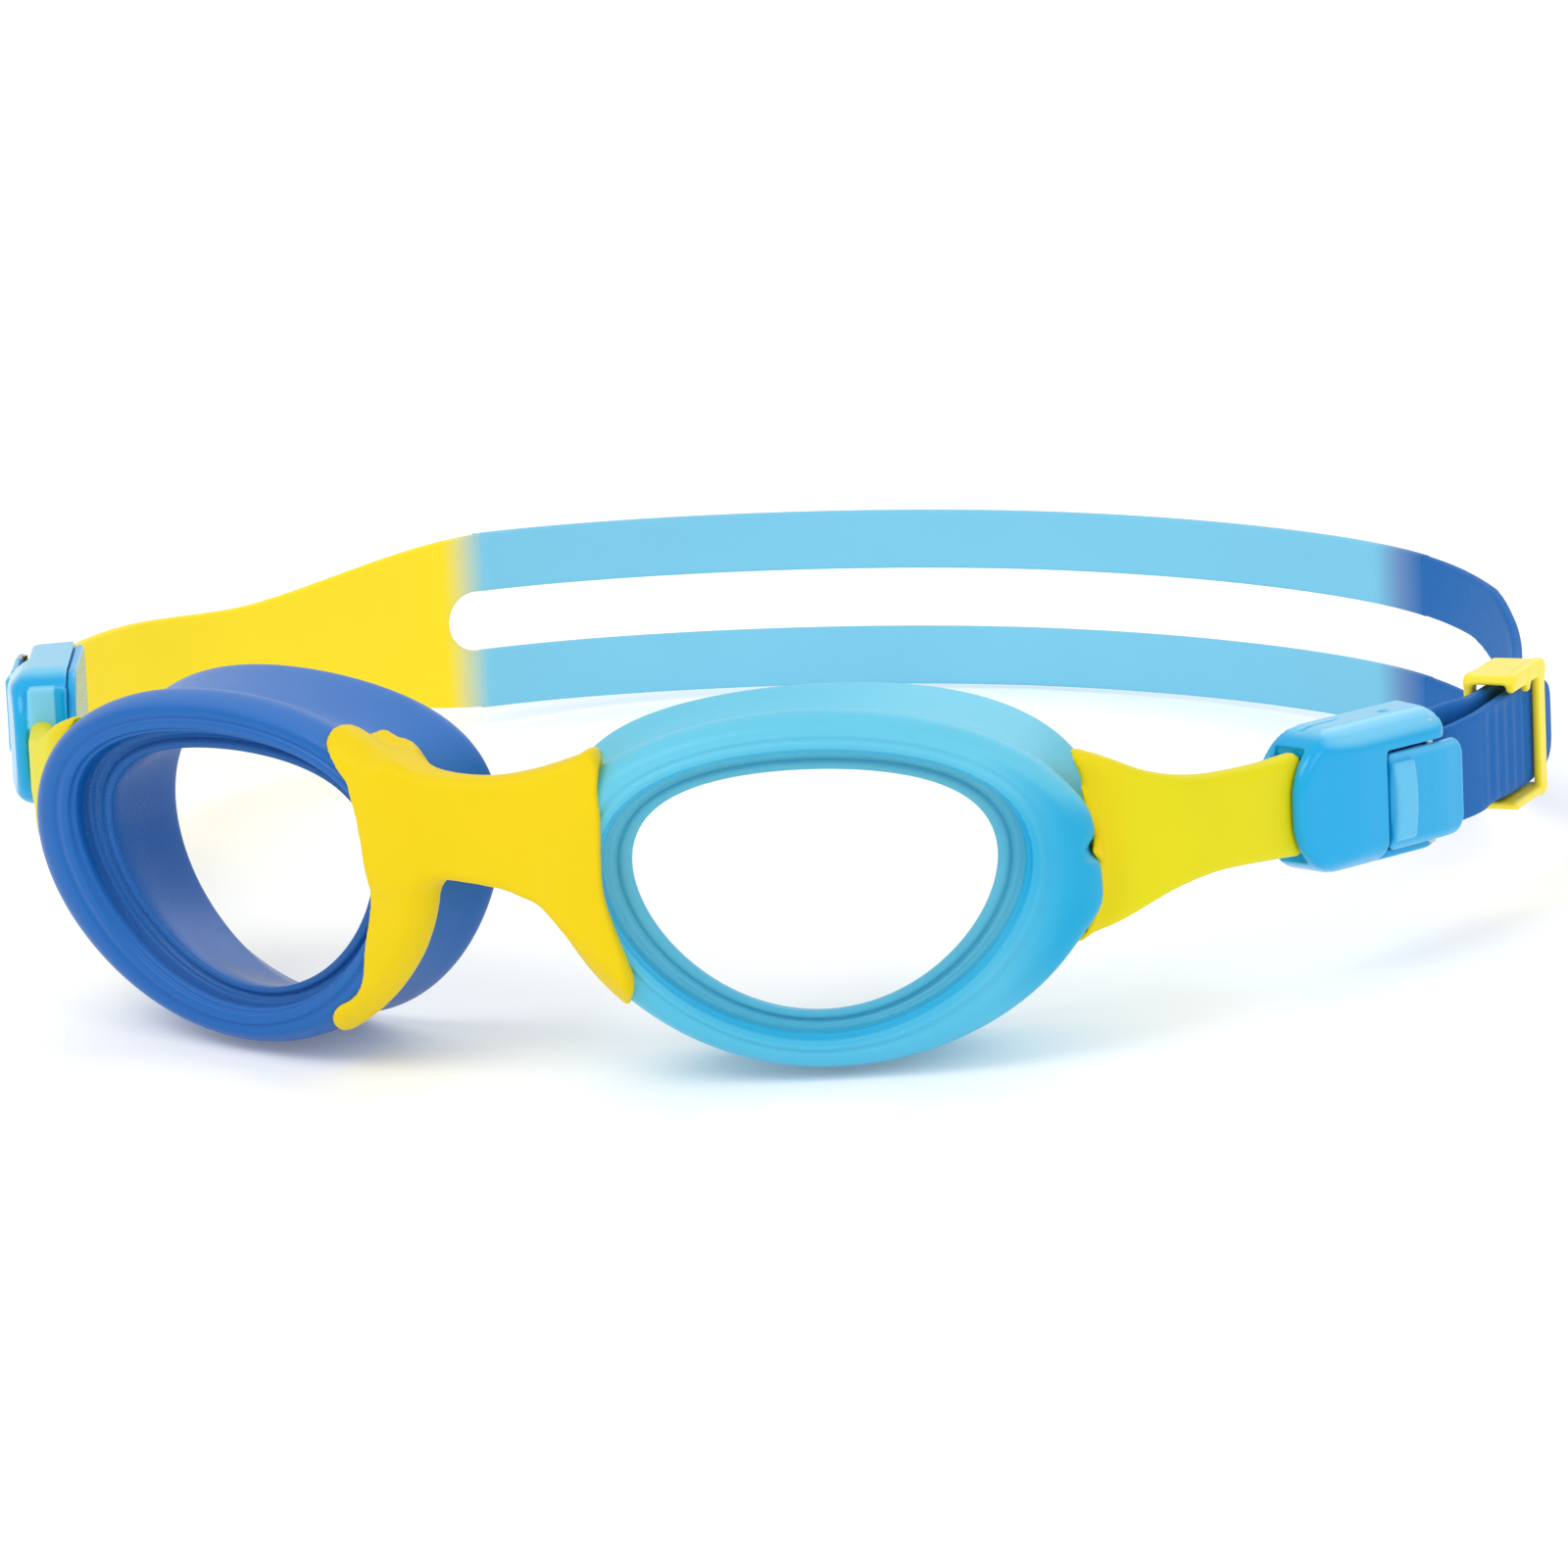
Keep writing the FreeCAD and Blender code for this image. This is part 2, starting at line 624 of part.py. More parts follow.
# ---- assembly ------------------------------------------------------------------------------------
def settled(shape, lift=0.0):
    """From the worn pose to the resting pose on Z = 0, with the origin under the middle."""
    placed = shape.copy()
    placed.translate(Z_AXIS * lift)
    placed.rotate(ORIGIN, X_AXIS, -rest_tilt)
    placed.translate(Vector(0, -rest_back, rest_raise))
    return placed


def main():
    nodes = {
        "nose_bridge": settled(bridge()),
        "upper_band": settled(band(upper_mid)),
        "lower_band": settled(band(lower_mid)),
        "strap_left_end": settled(strap_left_end()),
        "strap_tail": settled(strap_tail()),
        "strap_right_end": settled(strap_right_end()),
        "strap_slide": settled(strap_slide()),
        "arm_end_left": settled(arm_end(0.0)),
        "arm_end_right": settled(mirrored(arm_end(right_lift))),
    }
    paired = {
        "eyecup": eyecup(),
        "lens": lens(),
        "temple_arm": arm_root(),
    }
    buckles = {
        "arm_pin": arm_pin(arm_pin_r),
        "buckle_housing": buckle_housing(),
        "buckle_cover": buckle_cover(),
        "strap_post": post_pin(post_r),
        "lever_pin": lever_pin(lever_pin_r),
        "lever_spring": lever_spring(),
        "release_lever": release_lever(),
    }
    for name, shape in paired.items():
        nodes[name + "_left"] = settled(shape)
        nodes[name + "_right"] = settled(mirrored(shape))
    for name, shape in buckles.items():
        nodes[name + "_left"] = settled(shape)
        nodes[name + "_right"] = settled(turned_over(shape), right_lift)

    os.makedirs("parts", exist_ok=True)
    whole = FreeCAD.BoundBox()
    for name in sorted(nodes):
        shape = nodes[name]
        shape.exportStep("parts/" + name + ".step")
        box = shape.optimalBoundingBox(True, False)
        whole.add(box)
        print(f"{name:22s} solids {len(shape.Solids)} valid {shape.isValid()} volume {shape.Volume:9.1f}")
    print(f"box {whole.XLength:.2f} x {whole.YLength:.2f} x {whole.ZLength:.2f}, lowest {whole.ZMin:.3f}")


main()
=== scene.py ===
import json
import math

import bpy
import numpy as np
from mathutils import Matrix, Vector


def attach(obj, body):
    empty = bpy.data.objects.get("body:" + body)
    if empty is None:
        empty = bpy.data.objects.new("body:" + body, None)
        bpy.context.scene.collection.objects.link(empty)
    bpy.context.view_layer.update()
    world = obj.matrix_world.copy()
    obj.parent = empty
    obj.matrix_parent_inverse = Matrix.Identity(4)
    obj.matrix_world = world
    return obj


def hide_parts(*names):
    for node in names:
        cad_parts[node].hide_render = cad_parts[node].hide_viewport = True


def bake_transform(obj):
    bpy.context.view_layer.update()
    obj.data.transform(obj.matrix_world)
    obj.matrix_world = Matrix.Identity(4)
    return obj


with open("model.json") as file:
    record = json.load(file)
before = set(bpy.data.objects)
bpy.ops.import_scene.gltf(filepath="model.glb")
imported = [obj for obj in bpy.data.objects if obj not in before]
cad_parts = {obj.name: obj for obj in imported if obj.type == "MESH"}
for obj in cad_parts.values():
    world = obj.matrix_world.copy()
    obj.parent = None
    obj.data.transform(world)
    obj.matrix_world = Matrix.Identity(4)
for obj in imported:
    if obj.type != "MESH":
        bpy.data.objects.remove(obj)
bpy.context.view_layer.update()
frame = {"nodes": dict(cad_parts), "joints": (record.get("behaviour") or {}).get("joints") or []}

scene = bpy.context.scene
JOINTS = {j["name"]: j for j in frame["joints"]}

# ---- camera ----------------------------------------------------------------------------------------


def make_camera():
    azimuth, height, roll = math.radians(22.707), math.radians(15.688), math.radians(-4.492)
    target = Vector((0.00903, -0.01770, 0.01660))
    back = Vector((math.sin(azimuth) * math.cos(height), -math.cos(azimuth) * math.cos(height),
                   math.sin(height)))
    right = Vector((math.cos(azimuth), math.sin(azimuth), 0))
    up = back.cross(right)
    across = right * math.cos(roll) + up * math.sin(roll)
    upward = up * math.cos(roll) - right * math.sin(roll)
    camera = bpy.data.objects.new("camera", bpy.data.cameras.new("camera"))
    camera.data.lens = 201.3
    camera.data.sensor_width = 36
    camera.data.clip_start = 0.05
    camera.data.clip_end = 20
    turn = Matrix((across, upward, back)).transposed().to_4x4()
    camera.matrix_world = Matrix.Translation(target + back * 1.050) @ turn
    scene.collection.objects.link(camera)
    scene.camera = camera


make_camera()

# ---- frames ----------------------------------------------------------------------------------------
# Pieces are drawn in millimetres in the worn pose: Y = 0 is the plane of the lens fronts, +Y runs back
# over the head, Z = 0 is the height of the eyecup centres, and the wearer's left is +X.  The packed
# frame tips this pose back; one known joint fixes the shift between the two.
REST_TILT = math.radians(4.76)
SWING_WORN = np.array([0.0, 29.6, 4.0])
SWING_ROW = np.array(JOINTS["strap_swing"]["pos_m"])
RIGHT_LIFT = 2.5


def row(points, side=1, lift=0.0):
    """Worn millimetres to metres in the row frame; side -1 mirrors to the wearer's right."""
    p = np.asarray(points, float) * [side, 1, 1] + [0, 0, lift] - SWING_WORN
    c, s = math.cos(REST_TILT), math.sin(REST_TILT)
    x, y, z = p[..., 0], p[..., 1], p[..., 2]
    return np.stack([x, y * c + z * s, z * c - y * s], -1) / 1000 + SWING_ROW * [0, 1, 1]


def smooth_step(x, x0, x1, y0=0.0, y1=1.0):
    t = np.clip((np.asarray(x, float) - x0) / (x1 - x0), 0, 1)
    return y0 + (y1 - y0) * t * t * (3 - 2 * t)


# ---- mesh helpers ----------------------------------------------------------------------------------


def new_mesh(name, vertices, faces, material):
    """A smooth closed mesh from quads or triangles, turned so that its normals point outward."""
    vertices = np.asarray(vertices, float)
    faces = np.asarray(faces, int)
    a, b, c = vertices[faces[:, 0]], vertices[faces[:, 1]], vertices[faces[:, 2]]
    volume = np.einsum("ij,ij->i", a, np.cross(b, c)).sum()
    if faces.shape[1] == 4:
        d = vertices[faces[:, 3]]
        volume += np.einsum("ij,ij->i", a, np.cross(c, d)).sum()
    if volume < 0:
        faces = faces[:, ::-1]
    mesh = bpy.data.meshes.new(name)
    mesh.vertices.add(len(vertices))
    mesh.vertices.foreach_set("co", vertices.astype(np.float32).ravel())
    sides = faces.shape[1]
    mesh.loops.add(faces.size)
    mesh.loops.foreach_set("vertex_index", faces.astype(np.int32).ravel())
    mesh.polygons.add(len(faces))
    mesh.polygons.foreach_set("loop_start", np.arange(0, faces.size, sides, dtype=np.int32))
    mesh.polygons.foreach_set("use_smooth", np.ones(len(faces), bool))
    mesh.update(calc_edges=True)
    mesh.set_sharp_from_angle(angle=math.radians(50))
    piece = bpy.data.objects.new(name, mesh)
    scene.collection.objects.link(piece)
    mesh.materials.append(material)
    return piece


def tint(piece, values):
    """A per-vertex number from 0 to 1 that the piece's material mixes its second colour by."""
    attribute = piece.data.attributes.new("tint", "FLOAT", "POINT")
    attribute.data.foreach_set("value", np.clip(values, 0, 1).astype(np.float32))


CORNERS = [(i, j, k) for i in (0, 1) for j in (0, 1) for k in (0, 1)]
CELL_EDGES = [(p, q) for p in CORNERS for q in CORNERS if sum(q) - sum(p) == 1 and
              sum(abs(x - y) for x, y in zip(p, q)) == 1]


def surface_net(field, low, step):
    """Quads round the zero level of a field of signed distances on a regular grid."""
    inside = field < 0
    count = np.array(field.shape) - 1
    total = np.zeros(count, int)
    for i, j, k in CORNERS:
        total += inside[i:i + count[0], j:j + count[1], k:k + count[2]]
    active = (total > 0) & (total < 8)
    index = np.full(count, -1)
    index[active] = np.arange(active.sum())
    cells = np.argwhere(active)
    place = np.zeros((len(cells), 3))
    hits = np.zeros(len(cells))
    for p, q in CELL_EDGES:
        f0 = field[tuple((cells + p).T)]
        f1 = field[tuple((cells + q).T)]
        cross = (f0 < 0) != (f1 < 0)
        share = f0 / np.where(cross, f0 - f1, 1)
        point = np.array(p) + share[:, None] * (np.array(q) - np.array(p))
        place += np.where(cross[:, None], point, 0)
        hits += cross
    vertices = np.array(low) + step * (cells + place / hits[:, None])
    faces = []
    for axis in range(3):
        e = np.eye(3, dtype=int)
        e1, e2 = e[(axis + 1) % 3], e[(axis + 2) % 3]
        start = inside[tuple(slice(0, -1) if a == axis else slice(1, -1) for a in range(3))]
        end = inside[tuple(slice(1, None) if a == axis else slice(1, -1) for a in range(3))]
        at = np.argwhere(start != end) + e1 + e2
        rising = end[tuple((at - e1 - e2).T)]
        quad = np.stack([index[tuple((at - s).T)] for s in (0 * e1, e1, e1 + e2, e2)], 1)
        quad[rising] = quad[rising][:, ::-1]
        faces.append(quad)
    return vertices, np.concatenate(faces)


def relax(vertices, faces, rounds=2, share=0.5):
    """Evens out a quad mesh without shrinking it much: each step forward is followed by one back."""
    pairs = np.concatenate([faces[:, [i, (i + 1) % 4]] for i in range(4)])
    degree = np.bincount(pairs.ravel(), minlength=len(vertices)).astype(float)
    for turn in range(2 * rounds):
        sums = np.stack([np.bincount(pairs[:, 0], vertices[pairs[:, 1], a], len(vertices)) +
                         np.bincount(pairs[:, 1], vertices[pairs[:, 0], a], len(vertices))
                         for a in range(3)], 1)
        move = sums / degree[:, None] - vertices
        vertices = vertices + move * (share if turn % 2 == 0 else -share * 1.04)
    return vertices


def grid(low, high, step):
    axes = [np.arange(a - 2 * step, b + 3 * step, step) for a, b in zip(low, high)]
    return [g for g in np.meshgrid(*axes, indexing="ij")], np.array([axis[0] for axis in axes])


def smin(a, b, k):
    h = np.maximum(k - np.abs(a - b), 0) / k
    return np.minimum(a, b) - h * h * k / 4


def smax(a, b, k):
    return -smin(-a, -b, k)


def curved(points, closed=True, parts=5):
    """A smooth line through the points."""
    p = np.array(points, float)
    n = len(p)
    out = []
    for i in range(n if closed else n - 1):
        if closed:
            a, b, c, d = p[i - 1], p[i], p[(i + 1) % n], p[(i + 2) % n]
        else:
            a, b, c, d = p[max(i - 1, 0)], p[i], p[i + 1], p[min(i + 2, n - 1)]
        t = np.arange(parts)[:, None] / parts
        out.append(0.5 * (2 * b + (c - a) * t + (2 * a - 5 * b + 4 * c - d) * t ** 2 +
                          (3 * b - a - 3 * c + d) * t ** 3))
    if not closed:
        out.append(p[-1:])
    return np.concatenate(out)


def outline_distance(px, pz, points):
    """Signed distance to a closed outline in a plane, negative inside it."""
    best = np.full(px.shape, 1e9)
    inside = np.zeros(px.shape, bool)
    for (x0, z0), (x1, z1) in zip(points, np.roll(points, -1, axis=0)):
        ex, ez = x1 - x0, z1 - z0
        wx, wz = px - x0, pz - z0
        t = np.clip((wx * ex + wz * ez) / max(ex * ex + ez * ez, 1e-12), 0, 1)
        best = np.minimum(best, np.hypot(wx - ex * t, wz - ez * t))
        if z0 != z1:
            inside ^= ((z0 > pz) != (z1 > pz)) & (px < x0 + (pz - z0) * ex / ez)
    return np.where(inside, -best, best)


def rounded_box(x, y, z, low, high, radius):
    mid = [(a + b) / 2 for a, b in zip(low, high)]
    half = [(b - a) / 2 - radius for a, b in zip(low, high)]
    q = [np.abs(v - m) - h for v, m, h in zip((x, y, z), mid, half)]
    outer = np.sqrt(sum(np.maximum(v, 0) ** 2 for v in q))
    return outer + np.minimum(np.maximum(np.maximum(q[0], q[1]), q[2]), 0) - radius


# ---- materials -------------------------------------------------------------------------------------


SRGB_TOE = 10 / 255


def linear(red, green, blue):
    """A screen colour, 0 to 255 a channel, as linear light with full opacity."""
    shares = [value / 255 for value in (red, green, blue)]
    return [((v + 0.055) / 1.055) ** 2.4 if v > SRGB_TOE else v / 12.92 for v in shares] + [1]


def surface(name, colour, second=None, roughness=0.45, shine=0.25, coat=0.0, coat_roughness=0.08,
            scatter=0.0, bump=0.03, ramp=None, vary=0.05):
    """A moulded soft or hard plastic: slow colour variation, fine grain, and a second colour by tint."""
    material = bpy.data.materials.new(name)
    material.use_nodes = True
    nodes, links = material.node_tree.nodes, material.node_tree.links
    shader = nodes["Principled BSDF"]
    where = nodes.new("ShaderNodeTexCoord").outputs["Object"]
    slow = nodes.new("ShaderNodeTexNoise")
    slow.inputs["Scale"].default_value = 55
    slow.inputs["Detail"].default_value = 3
    links.new(where, slow.inputs["Vector"])
    if ramp:
        parts = nodes.new("ShaderNodeSeparateXYZ")
        links.new(where, parts.inputs[0])
        stretch = nodes.new("ShaderNodeMapRange")
        stretch.inputs["From Min"].default_value = -0.1
        stretch.inputs["From Max"].default_value = 0.1
        links.new(parts.outputs["X"], stretch.inputs["Value"])
        colours = nodes.new("ShaderNodeValToRGB")
        colours.color_ramp.elements[0].position = (ramp[0][0] + 100) / 200
        colours.color_ramp.elements[0].color = ramp[0][1]
        colours.color_ramp.elements[1].position = (ramp[-1][0] + 100) / 200
        colours.color_ramp.elements[1].color = ramp[-1][1]
        for x, value in ramp[1:-1]:
            element = colours.color_ramp.elements.new((x + 100) / 200)
            element.color = value
        links.new(stretch.outputs[0], colours.inputs[0])
        base = colours.outputs[0]
    else:
        both = nodes.new("ShaderNodeMix")
        both.data_type = "RGBA"
        both.inputs["A"].default_value = colour
        both.inputs["B"].default_value = second or colour
        attribute = nodes.new("ShaderNodeAttribute")
        attribute.attribute_name = "tint"
        links.new(attribute.outputs["Fac"], both.inputs["Factor"])
        base = both.outputs["Result"]
    shade = nodes.new("ShaderNodeHueSaturation")
    links.new(base, shade.inputs["Color"])
    value = nodes.new("ShaderNodeMapRange")
    value.inputs["To Min"].default_value = 1 - vary
    value.inputs["To Max"].default_value = 1 + vary
    links.new(slow.outputs["Fac"], value.inputs["Value"])
    links.new(value.outputs[0], shade.inputs["Value"])
    links.new(shade.outputs[0], shader.inputs["Base Color"])
    fine = nodes.new("ShaderNodeTexNoise")
    fine.inputs["Scale"].default_value = 900
    fine.inputs["Detail"].default_value = 4
    links.new(where, fine.inputs["Vector"])
    rough = nodes.new("ShaderNodeMapRange")
    rough.inputs["To Min"].default_value = max(roughness - 0.07, 0.02)
    rough.inputs["To Max"].default_value = roughness + 0.07
    links.new(fine.outputs["Fac"], rough.inputs["Value"])
    links.new(rough.outputs[0], shader.inputs["Roughness"])
    if bump:
        lumps = nodes.new("ShaderNodeBump")
        lumps.inputs["Strength"].default_value = bump
        lumps.inputs["Distance"].default_value = 0.0002
        links.new(fine.outputs["Fac"], lumps.inputs["Height"])
        links.new(lumps.outputs[0], shader.inputs["Normal"])
    shader.inputs["Specular IOR Level"].default_value = shine
    shader.inputs["Coat Weight"].default_value = coat
    shader.inputs["Coat Roughness"].default_value = coat_roughness
    shader.inputs["Subsurface Weight"].default_value = scatter
    shader.inputs["Subsurface Radius"].default_value = (0.002, 0.003, 0.004)
    return material


def lens_material():
    material = bpy.data.materials.new("clear_lens_look")
    material.use_nodes = True
    nodes, links = material.node_tree.nodes, material.node_tree.links
    nodes.remove(nodes["Principled BSDF"])
    through = nodes.new("ShaderNodeBsdfTransparent")
    through.inputs["Color"].default_value = (0.975, 0.97, 0.965, 1)
    shine = nodes.new("ShaderNodeBsdfGlossy")
    fine = nodes.new("ShaderNodeTexNoise")
    fine.inputs["Scale"].default_value = 400
    rough = nodes.new("ShaderNodeMapRange")
    rough.inputs["To Min"].default_value = 0.01
    rough.inputs["To Max"].default_value = 0.05
    links.new(nodes.new("ShaderNodeTexCoord").outputs["Object"], fine.inputs["Vector"])
    links.new(fine.outputs["Fac"], rough.inputs["Value"])
    links.new(rough.outputs[0], shine.inputs["Roughness"])
    edge = nodes.new("ShaderNodeFresnel")
    edge.inputs["IOR"].default_value = 1.12
    outside = nodes.new("ShaderNodeMath")
    outside.operation = "SUBTRACT"
    outside.inputs[0].default_value = 1
    links.new(nodes.new("ShaderNodeNewGeometry").outputs["Backfacing"], outside.inputs[1])
    share = nodes.new("ShaderNodeMath")
    share.operation = "MULTIPLY"
    links.new(edge.outputs[0], share.inputs[0])
    links.new(outside.outputs[0], share.inputs[1])
    mix = nodes.new("ShaderNodeMixShader")
    links.new(share.outputs[0], mix.inputs["Fac"])
    links.new(through.outputs[0], mix.inputs[1])
    links.new(shine.outputs[0], mix.inputs[2])
    links.new(mix.outputs[0], nodes["Material Output"].inputs["Surface"])
    return material


YELLOW = linear(255, 226, 40)
LIGHT_BLUE = linear(124, 200, 230)
STRAP_BLUE = linear(18, 100, 176)
STRAP_RAMP = [(-67.6, YELLOW), (-64.0, LIGHT_BLUE), (56.0, LIGHT_BLUE), (60.5, linear(104, 140, 190)),
              (65.0, STRAP_BLUE)]
look = {
    # blue_rubber: the second, lighter blue is a painted highlight on the right eyecup's upward faces.
    "blue_rubber": surface("blue_rubber_look", linear(18, 98, 176), linear(62, 118, 194), 0.36, shine=0.22,
                           coat=0.06, coat_roughness=0.2),
    # turquoise_rubber: the first, pale colour serves as the painted highlight of the top, the second, deeper
    # one as painted shade on the sides, the bottom and the lens groove.
    "turquoise_rubber": surface("turquoise_rubber_look", linear(100, 197, 225), linear(0, 166, 214), 0.38,
                                scatter=0.15, coat=0.06, coat_roughness=0.25, vary=0.06),
    # yellow_rubber: the second, greener yellow is painted shade, the colour the arms show in shade.
    "yellow_rubber": surface("yellow_rubber_look", linear(234, 204, 10), linear(226, 216, 20), 0.5,
                             shine=0.15),
    "strap": surface("strap_look", YELLOW, roughness=0.55, shine=0.15, ramp=STRAP_RAMP, vary=0.03),
    # buckle_cyan: the second, paler cyan is a painted highlight on the housings' top faces and upper bevels;
    # it also tints the right housing's window, the covers and parts of the levers.
    "buckle_cyan": surface("buckle_cyan_look", linear(0, 166, 224), linear(120, 205, 238), 0.2, shine=0.3,
                           coat=0.15, bump=0.008, vary=0.03),
    # slide_yellow: the second, paler yellow is a painted highlight on the keeper's top face.
    "slide_yellow": surface("slide_yellow_look", linear(248, 226, 50), linear(252, 236, 100), 0.35,
                            coat=0.1, vary=0.03),
    "steel_pin": surface("steel_pin_look", linear(190, 192, 198), roughness=0.3, shine=0.5),
    "clear_lens": lens_material(),
}
look["steel_pin"].node_tree.nodes["Principled BSDF"].inputs["Metallic"].default_value = 1.0

# ---- eyecups ---------------------------------------------------------------------------------------
# A section is an egg outline: half width, half height, lift, skew, shift across, shift up, and its
# depth behind the lip at the nose and at the temple.
CUP_SPREAD = 36.9
CUP_YAW = math.radians(18.15)
CUP_PITCH = math.radians(4.27)

OUTER = [
    (25.0, 17.4, 3.60, -0.10, -0.05, 0.17, 0.05, 0.05),
    (25.7, 18.0, 3.55, 0.00, 0.05, 0.15, 0.00, 0.00),
    (26.3, 18.3, 3.50, 0.10, 0.15, 0.15, 0.42, 0.42),
    (26.9, 18.7, 3.45, 0.20, 0.25, 0.15, 0.10, 0.10),
    (29.0, 19.8, 3.15, 0.55, 0.65, 0.15, 0.35, 0.35),
    (30.6, 20.7, 3.00, 0.85, 0.85, 0.15, 1.80, 1.80),
    (31.1, 21.05, 2.92, 0.92, 0.91, 0.15, 3.40, 3.40),
    (30.5, 20.6, 3.10, 0.95, 0.95, 0.10, 5.20, 5.20),
    (29.4, 19.6, 3.60, 1.05, 0.98, 0.00, 6.40, 6.40),
    (29.1, 19.3, 3.85, 1.10, 1.00, -0.10, 7.20, 7.20),
    (29.2, 19.5, 4.00, 1.15, 1.05, -0.20, 9.50, 9.50),
    (29.7, 20.1, 4.50, 1.20, 1.10, -0.40, 12.6, 13.8),
    (30.4, 20.8, 4.90, 1.26, 1.20, -0.55, 15.2, 17.7),
    (30.5, 20.95, 4.98, 1.28, 1.20, -0.58, 16.3, 19.0),
    (30.1, 20.5, 4.98, 1.28, 1.20, -0.58, 17.0, 19.72),
]
INNER = [
    (29.3, 19.7, 4.90, 1.28, 1.20, -0.55, 16.9, 19.6),
    (28.0, 18.8, 4.50, 1.30, 1.00, -0.40, 15.6, 19.0),
    (25.0, 18.2, 3.50, 1.35, 0.30, -0.10, 12.0, 17.4),
    (22.5, 17.7, 2.80, 1.38, -0.35, 0.15, 9.00, 16.2),
    (22.1, 17.2, 2.80, 1.20, -0.38, 0.15, 7.80, 14.6),
    (21.4, 15.8, 3.30, 0.60, -0.30, 0.00, 6.20, 9.50),
    (20.8, 14.5, 3.75, 0.05, -0.24, -0.12, 5.00, 5.60),
    (20.6, 14.2, 3.80, -0.02, -0.23, -0.15, 4.20, 4.30),
    (20.7, 14.2, 3.80, -0.02, -0.23, -0.15, 3.30, 3.30),
    (21.2, 14.6, 3.78, -0.05, -0.23, -0.12, 3.14, 3.14),
    (22.0, 15.1, 3.76, -0.10, -0.23, -0.05, 3.20, 3.20),
    (22.4, 15.4, 3.74, -0.15, -0.23, 0.00, 3.80, 3.80),
    (22.9, 15.8, 3.72, -0.20, -0.24, 0.10, 3.20, 3.20),
    (23.8, 16.3, 3.68, -0.30, -0.24, 0.19, 3.14, 3.14),
    (23.98, 16.44, 3.68, -0.30, -0.24, 0.19, 2.60, 2.60),
    (23.98, 16.44, 3.68, -0.30, -0.24, 0.19, 1.00, 1.00),
    (24.1, 16.6, 3.66, -0.25, -0.20, 0.18, 0.75, 0.75),
    (24.5, 16.95, 3.64, -0.20, -0.15, 0.18, 0.70, 0.70),
    (24.6, 17.05, 3.62, -0.15, -0.10, 0.18, 0.15, 0.15),
]


def rounded(sections, times=2, closed=True):
    """Corner cutting: the profile becomes a smooth curve close to its control sections."""
    p = np.array(sections, float)
    for _ in range(times):
        after = np.roll(p, -1, axis=0)
        cut = np.stack([p * 0.75 + after * 0.25, p * 0.25 + after * 0.75], 1).reshape(-1, p.shape[1])
        p = cut if closed else np.concatenate([p[:1], cut[:-2], p[-1:]])
    return p


UP = np.array([0, 0, 1])
CUP_ACROSS = np.array([math.cos(CUP_YAW), math.sin(CUP_YAW), 0])
CUP_PLAN = np.array([math.sin(CUP_YAW), -math.cos(CUP_YAW), 0])
CUP_UP = UP * math.cos(CUP_PITCH) + CUP_PLAN * math.sin(CUP_PITCH)
CUP_FRONT = CUP_PLAN * math.cos(CUP_PITCH) - UP * math.sin(CUP_PITCH)


def cup_points(u, v, depth):
    return (np.array([CUP_SPREAD, 0, 0]) + np.asarray(u)[..., None] * CUP_ACROSS +
            np.asarray(v)[..., None] * CUP_UP - np.asarray(depth)[..., None] * CUP_FRONT)


def cup_coordinates(points):
    away = points - np.array([CUP_SPREAD, 0, 0])
    return away @ CUP_ACROSS, away @ CUP_UP, -(away @ CUP_FRONT)


def egg_ring(section, angles):
    a, b, lift, skew, du, dv, nose, temple = section
    c = np.cos(angles)
    share = (c + 1) / 2
    return cup_points(a * c + du, b * np.sin(angles) + c * c * (lift - skew * c) + dv,
                      nose + (temple - nose) * share)


def ring_faces(rows, columns, closed):
    i, j = np.meshgrid(np.arange(rows if closed else rows - 1), np.arange(columns), indexing="ij")
    i2, j2 = (i + 1) % rows, (j + 1) % columns
    corners = [i * columns + j, i * columns + j2, i2 * columns + j2, i2 * columns + j]
    return np.stack(corners, -1).reshape(-1, 4)


def lobes(points, width):
    """Two soft lobes and the notch between them on the rim's temple side, where the arm comes out."""
    u, v, depth = cup_coordinates(points)
    wave = (0.45 * np.exp(-((v - 9.0) / 2.6) ** 2) + 0.8 * np.exp(-((v + 2.6) / 3.0) ** 2) -
            1.1 * np.exp(-((v - 3.9) / 1.2) ** 2))
    return wave * np.exp(-((depth - 3.2) / 2.4) ** 2) * smooth_step(u, 24, 28) * smooth_step(width, 26, 28.5)


def make_eyecup(name, side, material):
    sections = rounded(OUTER + INNER, 2)
    angles = np.arange(220) * 2 * math.pi / 220
    points = np.concatenate([egg_ring(section, angles) for section in sections])
    if side > 0:
        points = points + lobes(points, np.repeat(sections[:, 0], len(angles)))[:, None] * CUP_ACROSS
    faces = ring_faces(len(sections), len(angles), True)
    piece = new_mesh("soft_" + name, row(points, side), faces, material)
    normal = np.zeros(len(points) * 3, np.float32)
    piece.data.vertex_normals.foreach_get("vector", normal)
    upward = normal.reshape(-1, 3)[:, 2]
    depth = np.repeat(sections[:, 6], len(angles))
    if side > 0:
        u, v, _ = cup_coordinates(points)
        # Painted shade: the groove by the lens seat, the lower part and the faces turned away from up take
        # the deeper turquoise, so the top stays pale as a painted highlight.
        groove_shade = np.exp(-((depth - 0.9) / 0.8) ** 2) * np.repeat(sections[:, 0] < 25.4, len(angles))
        painted_side_shade = smooth_step(u, 18, 30) * smooth_step(upward, 0.7, 0.1) * 0.95
        tint(piece, groove_shade * 0.6 + smooth_step(v, 2, -16) * 0.3 + painted_side_shade)
    else:
        # Painted highlight: faces turned upward take the lighter blue, standing in for the soft highlight
        # along the top of the rim.
        tint(piece, smooth_step(upward, 0.35, 0.95) * 0.75)
    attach(piece, "front")
    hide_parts(name)


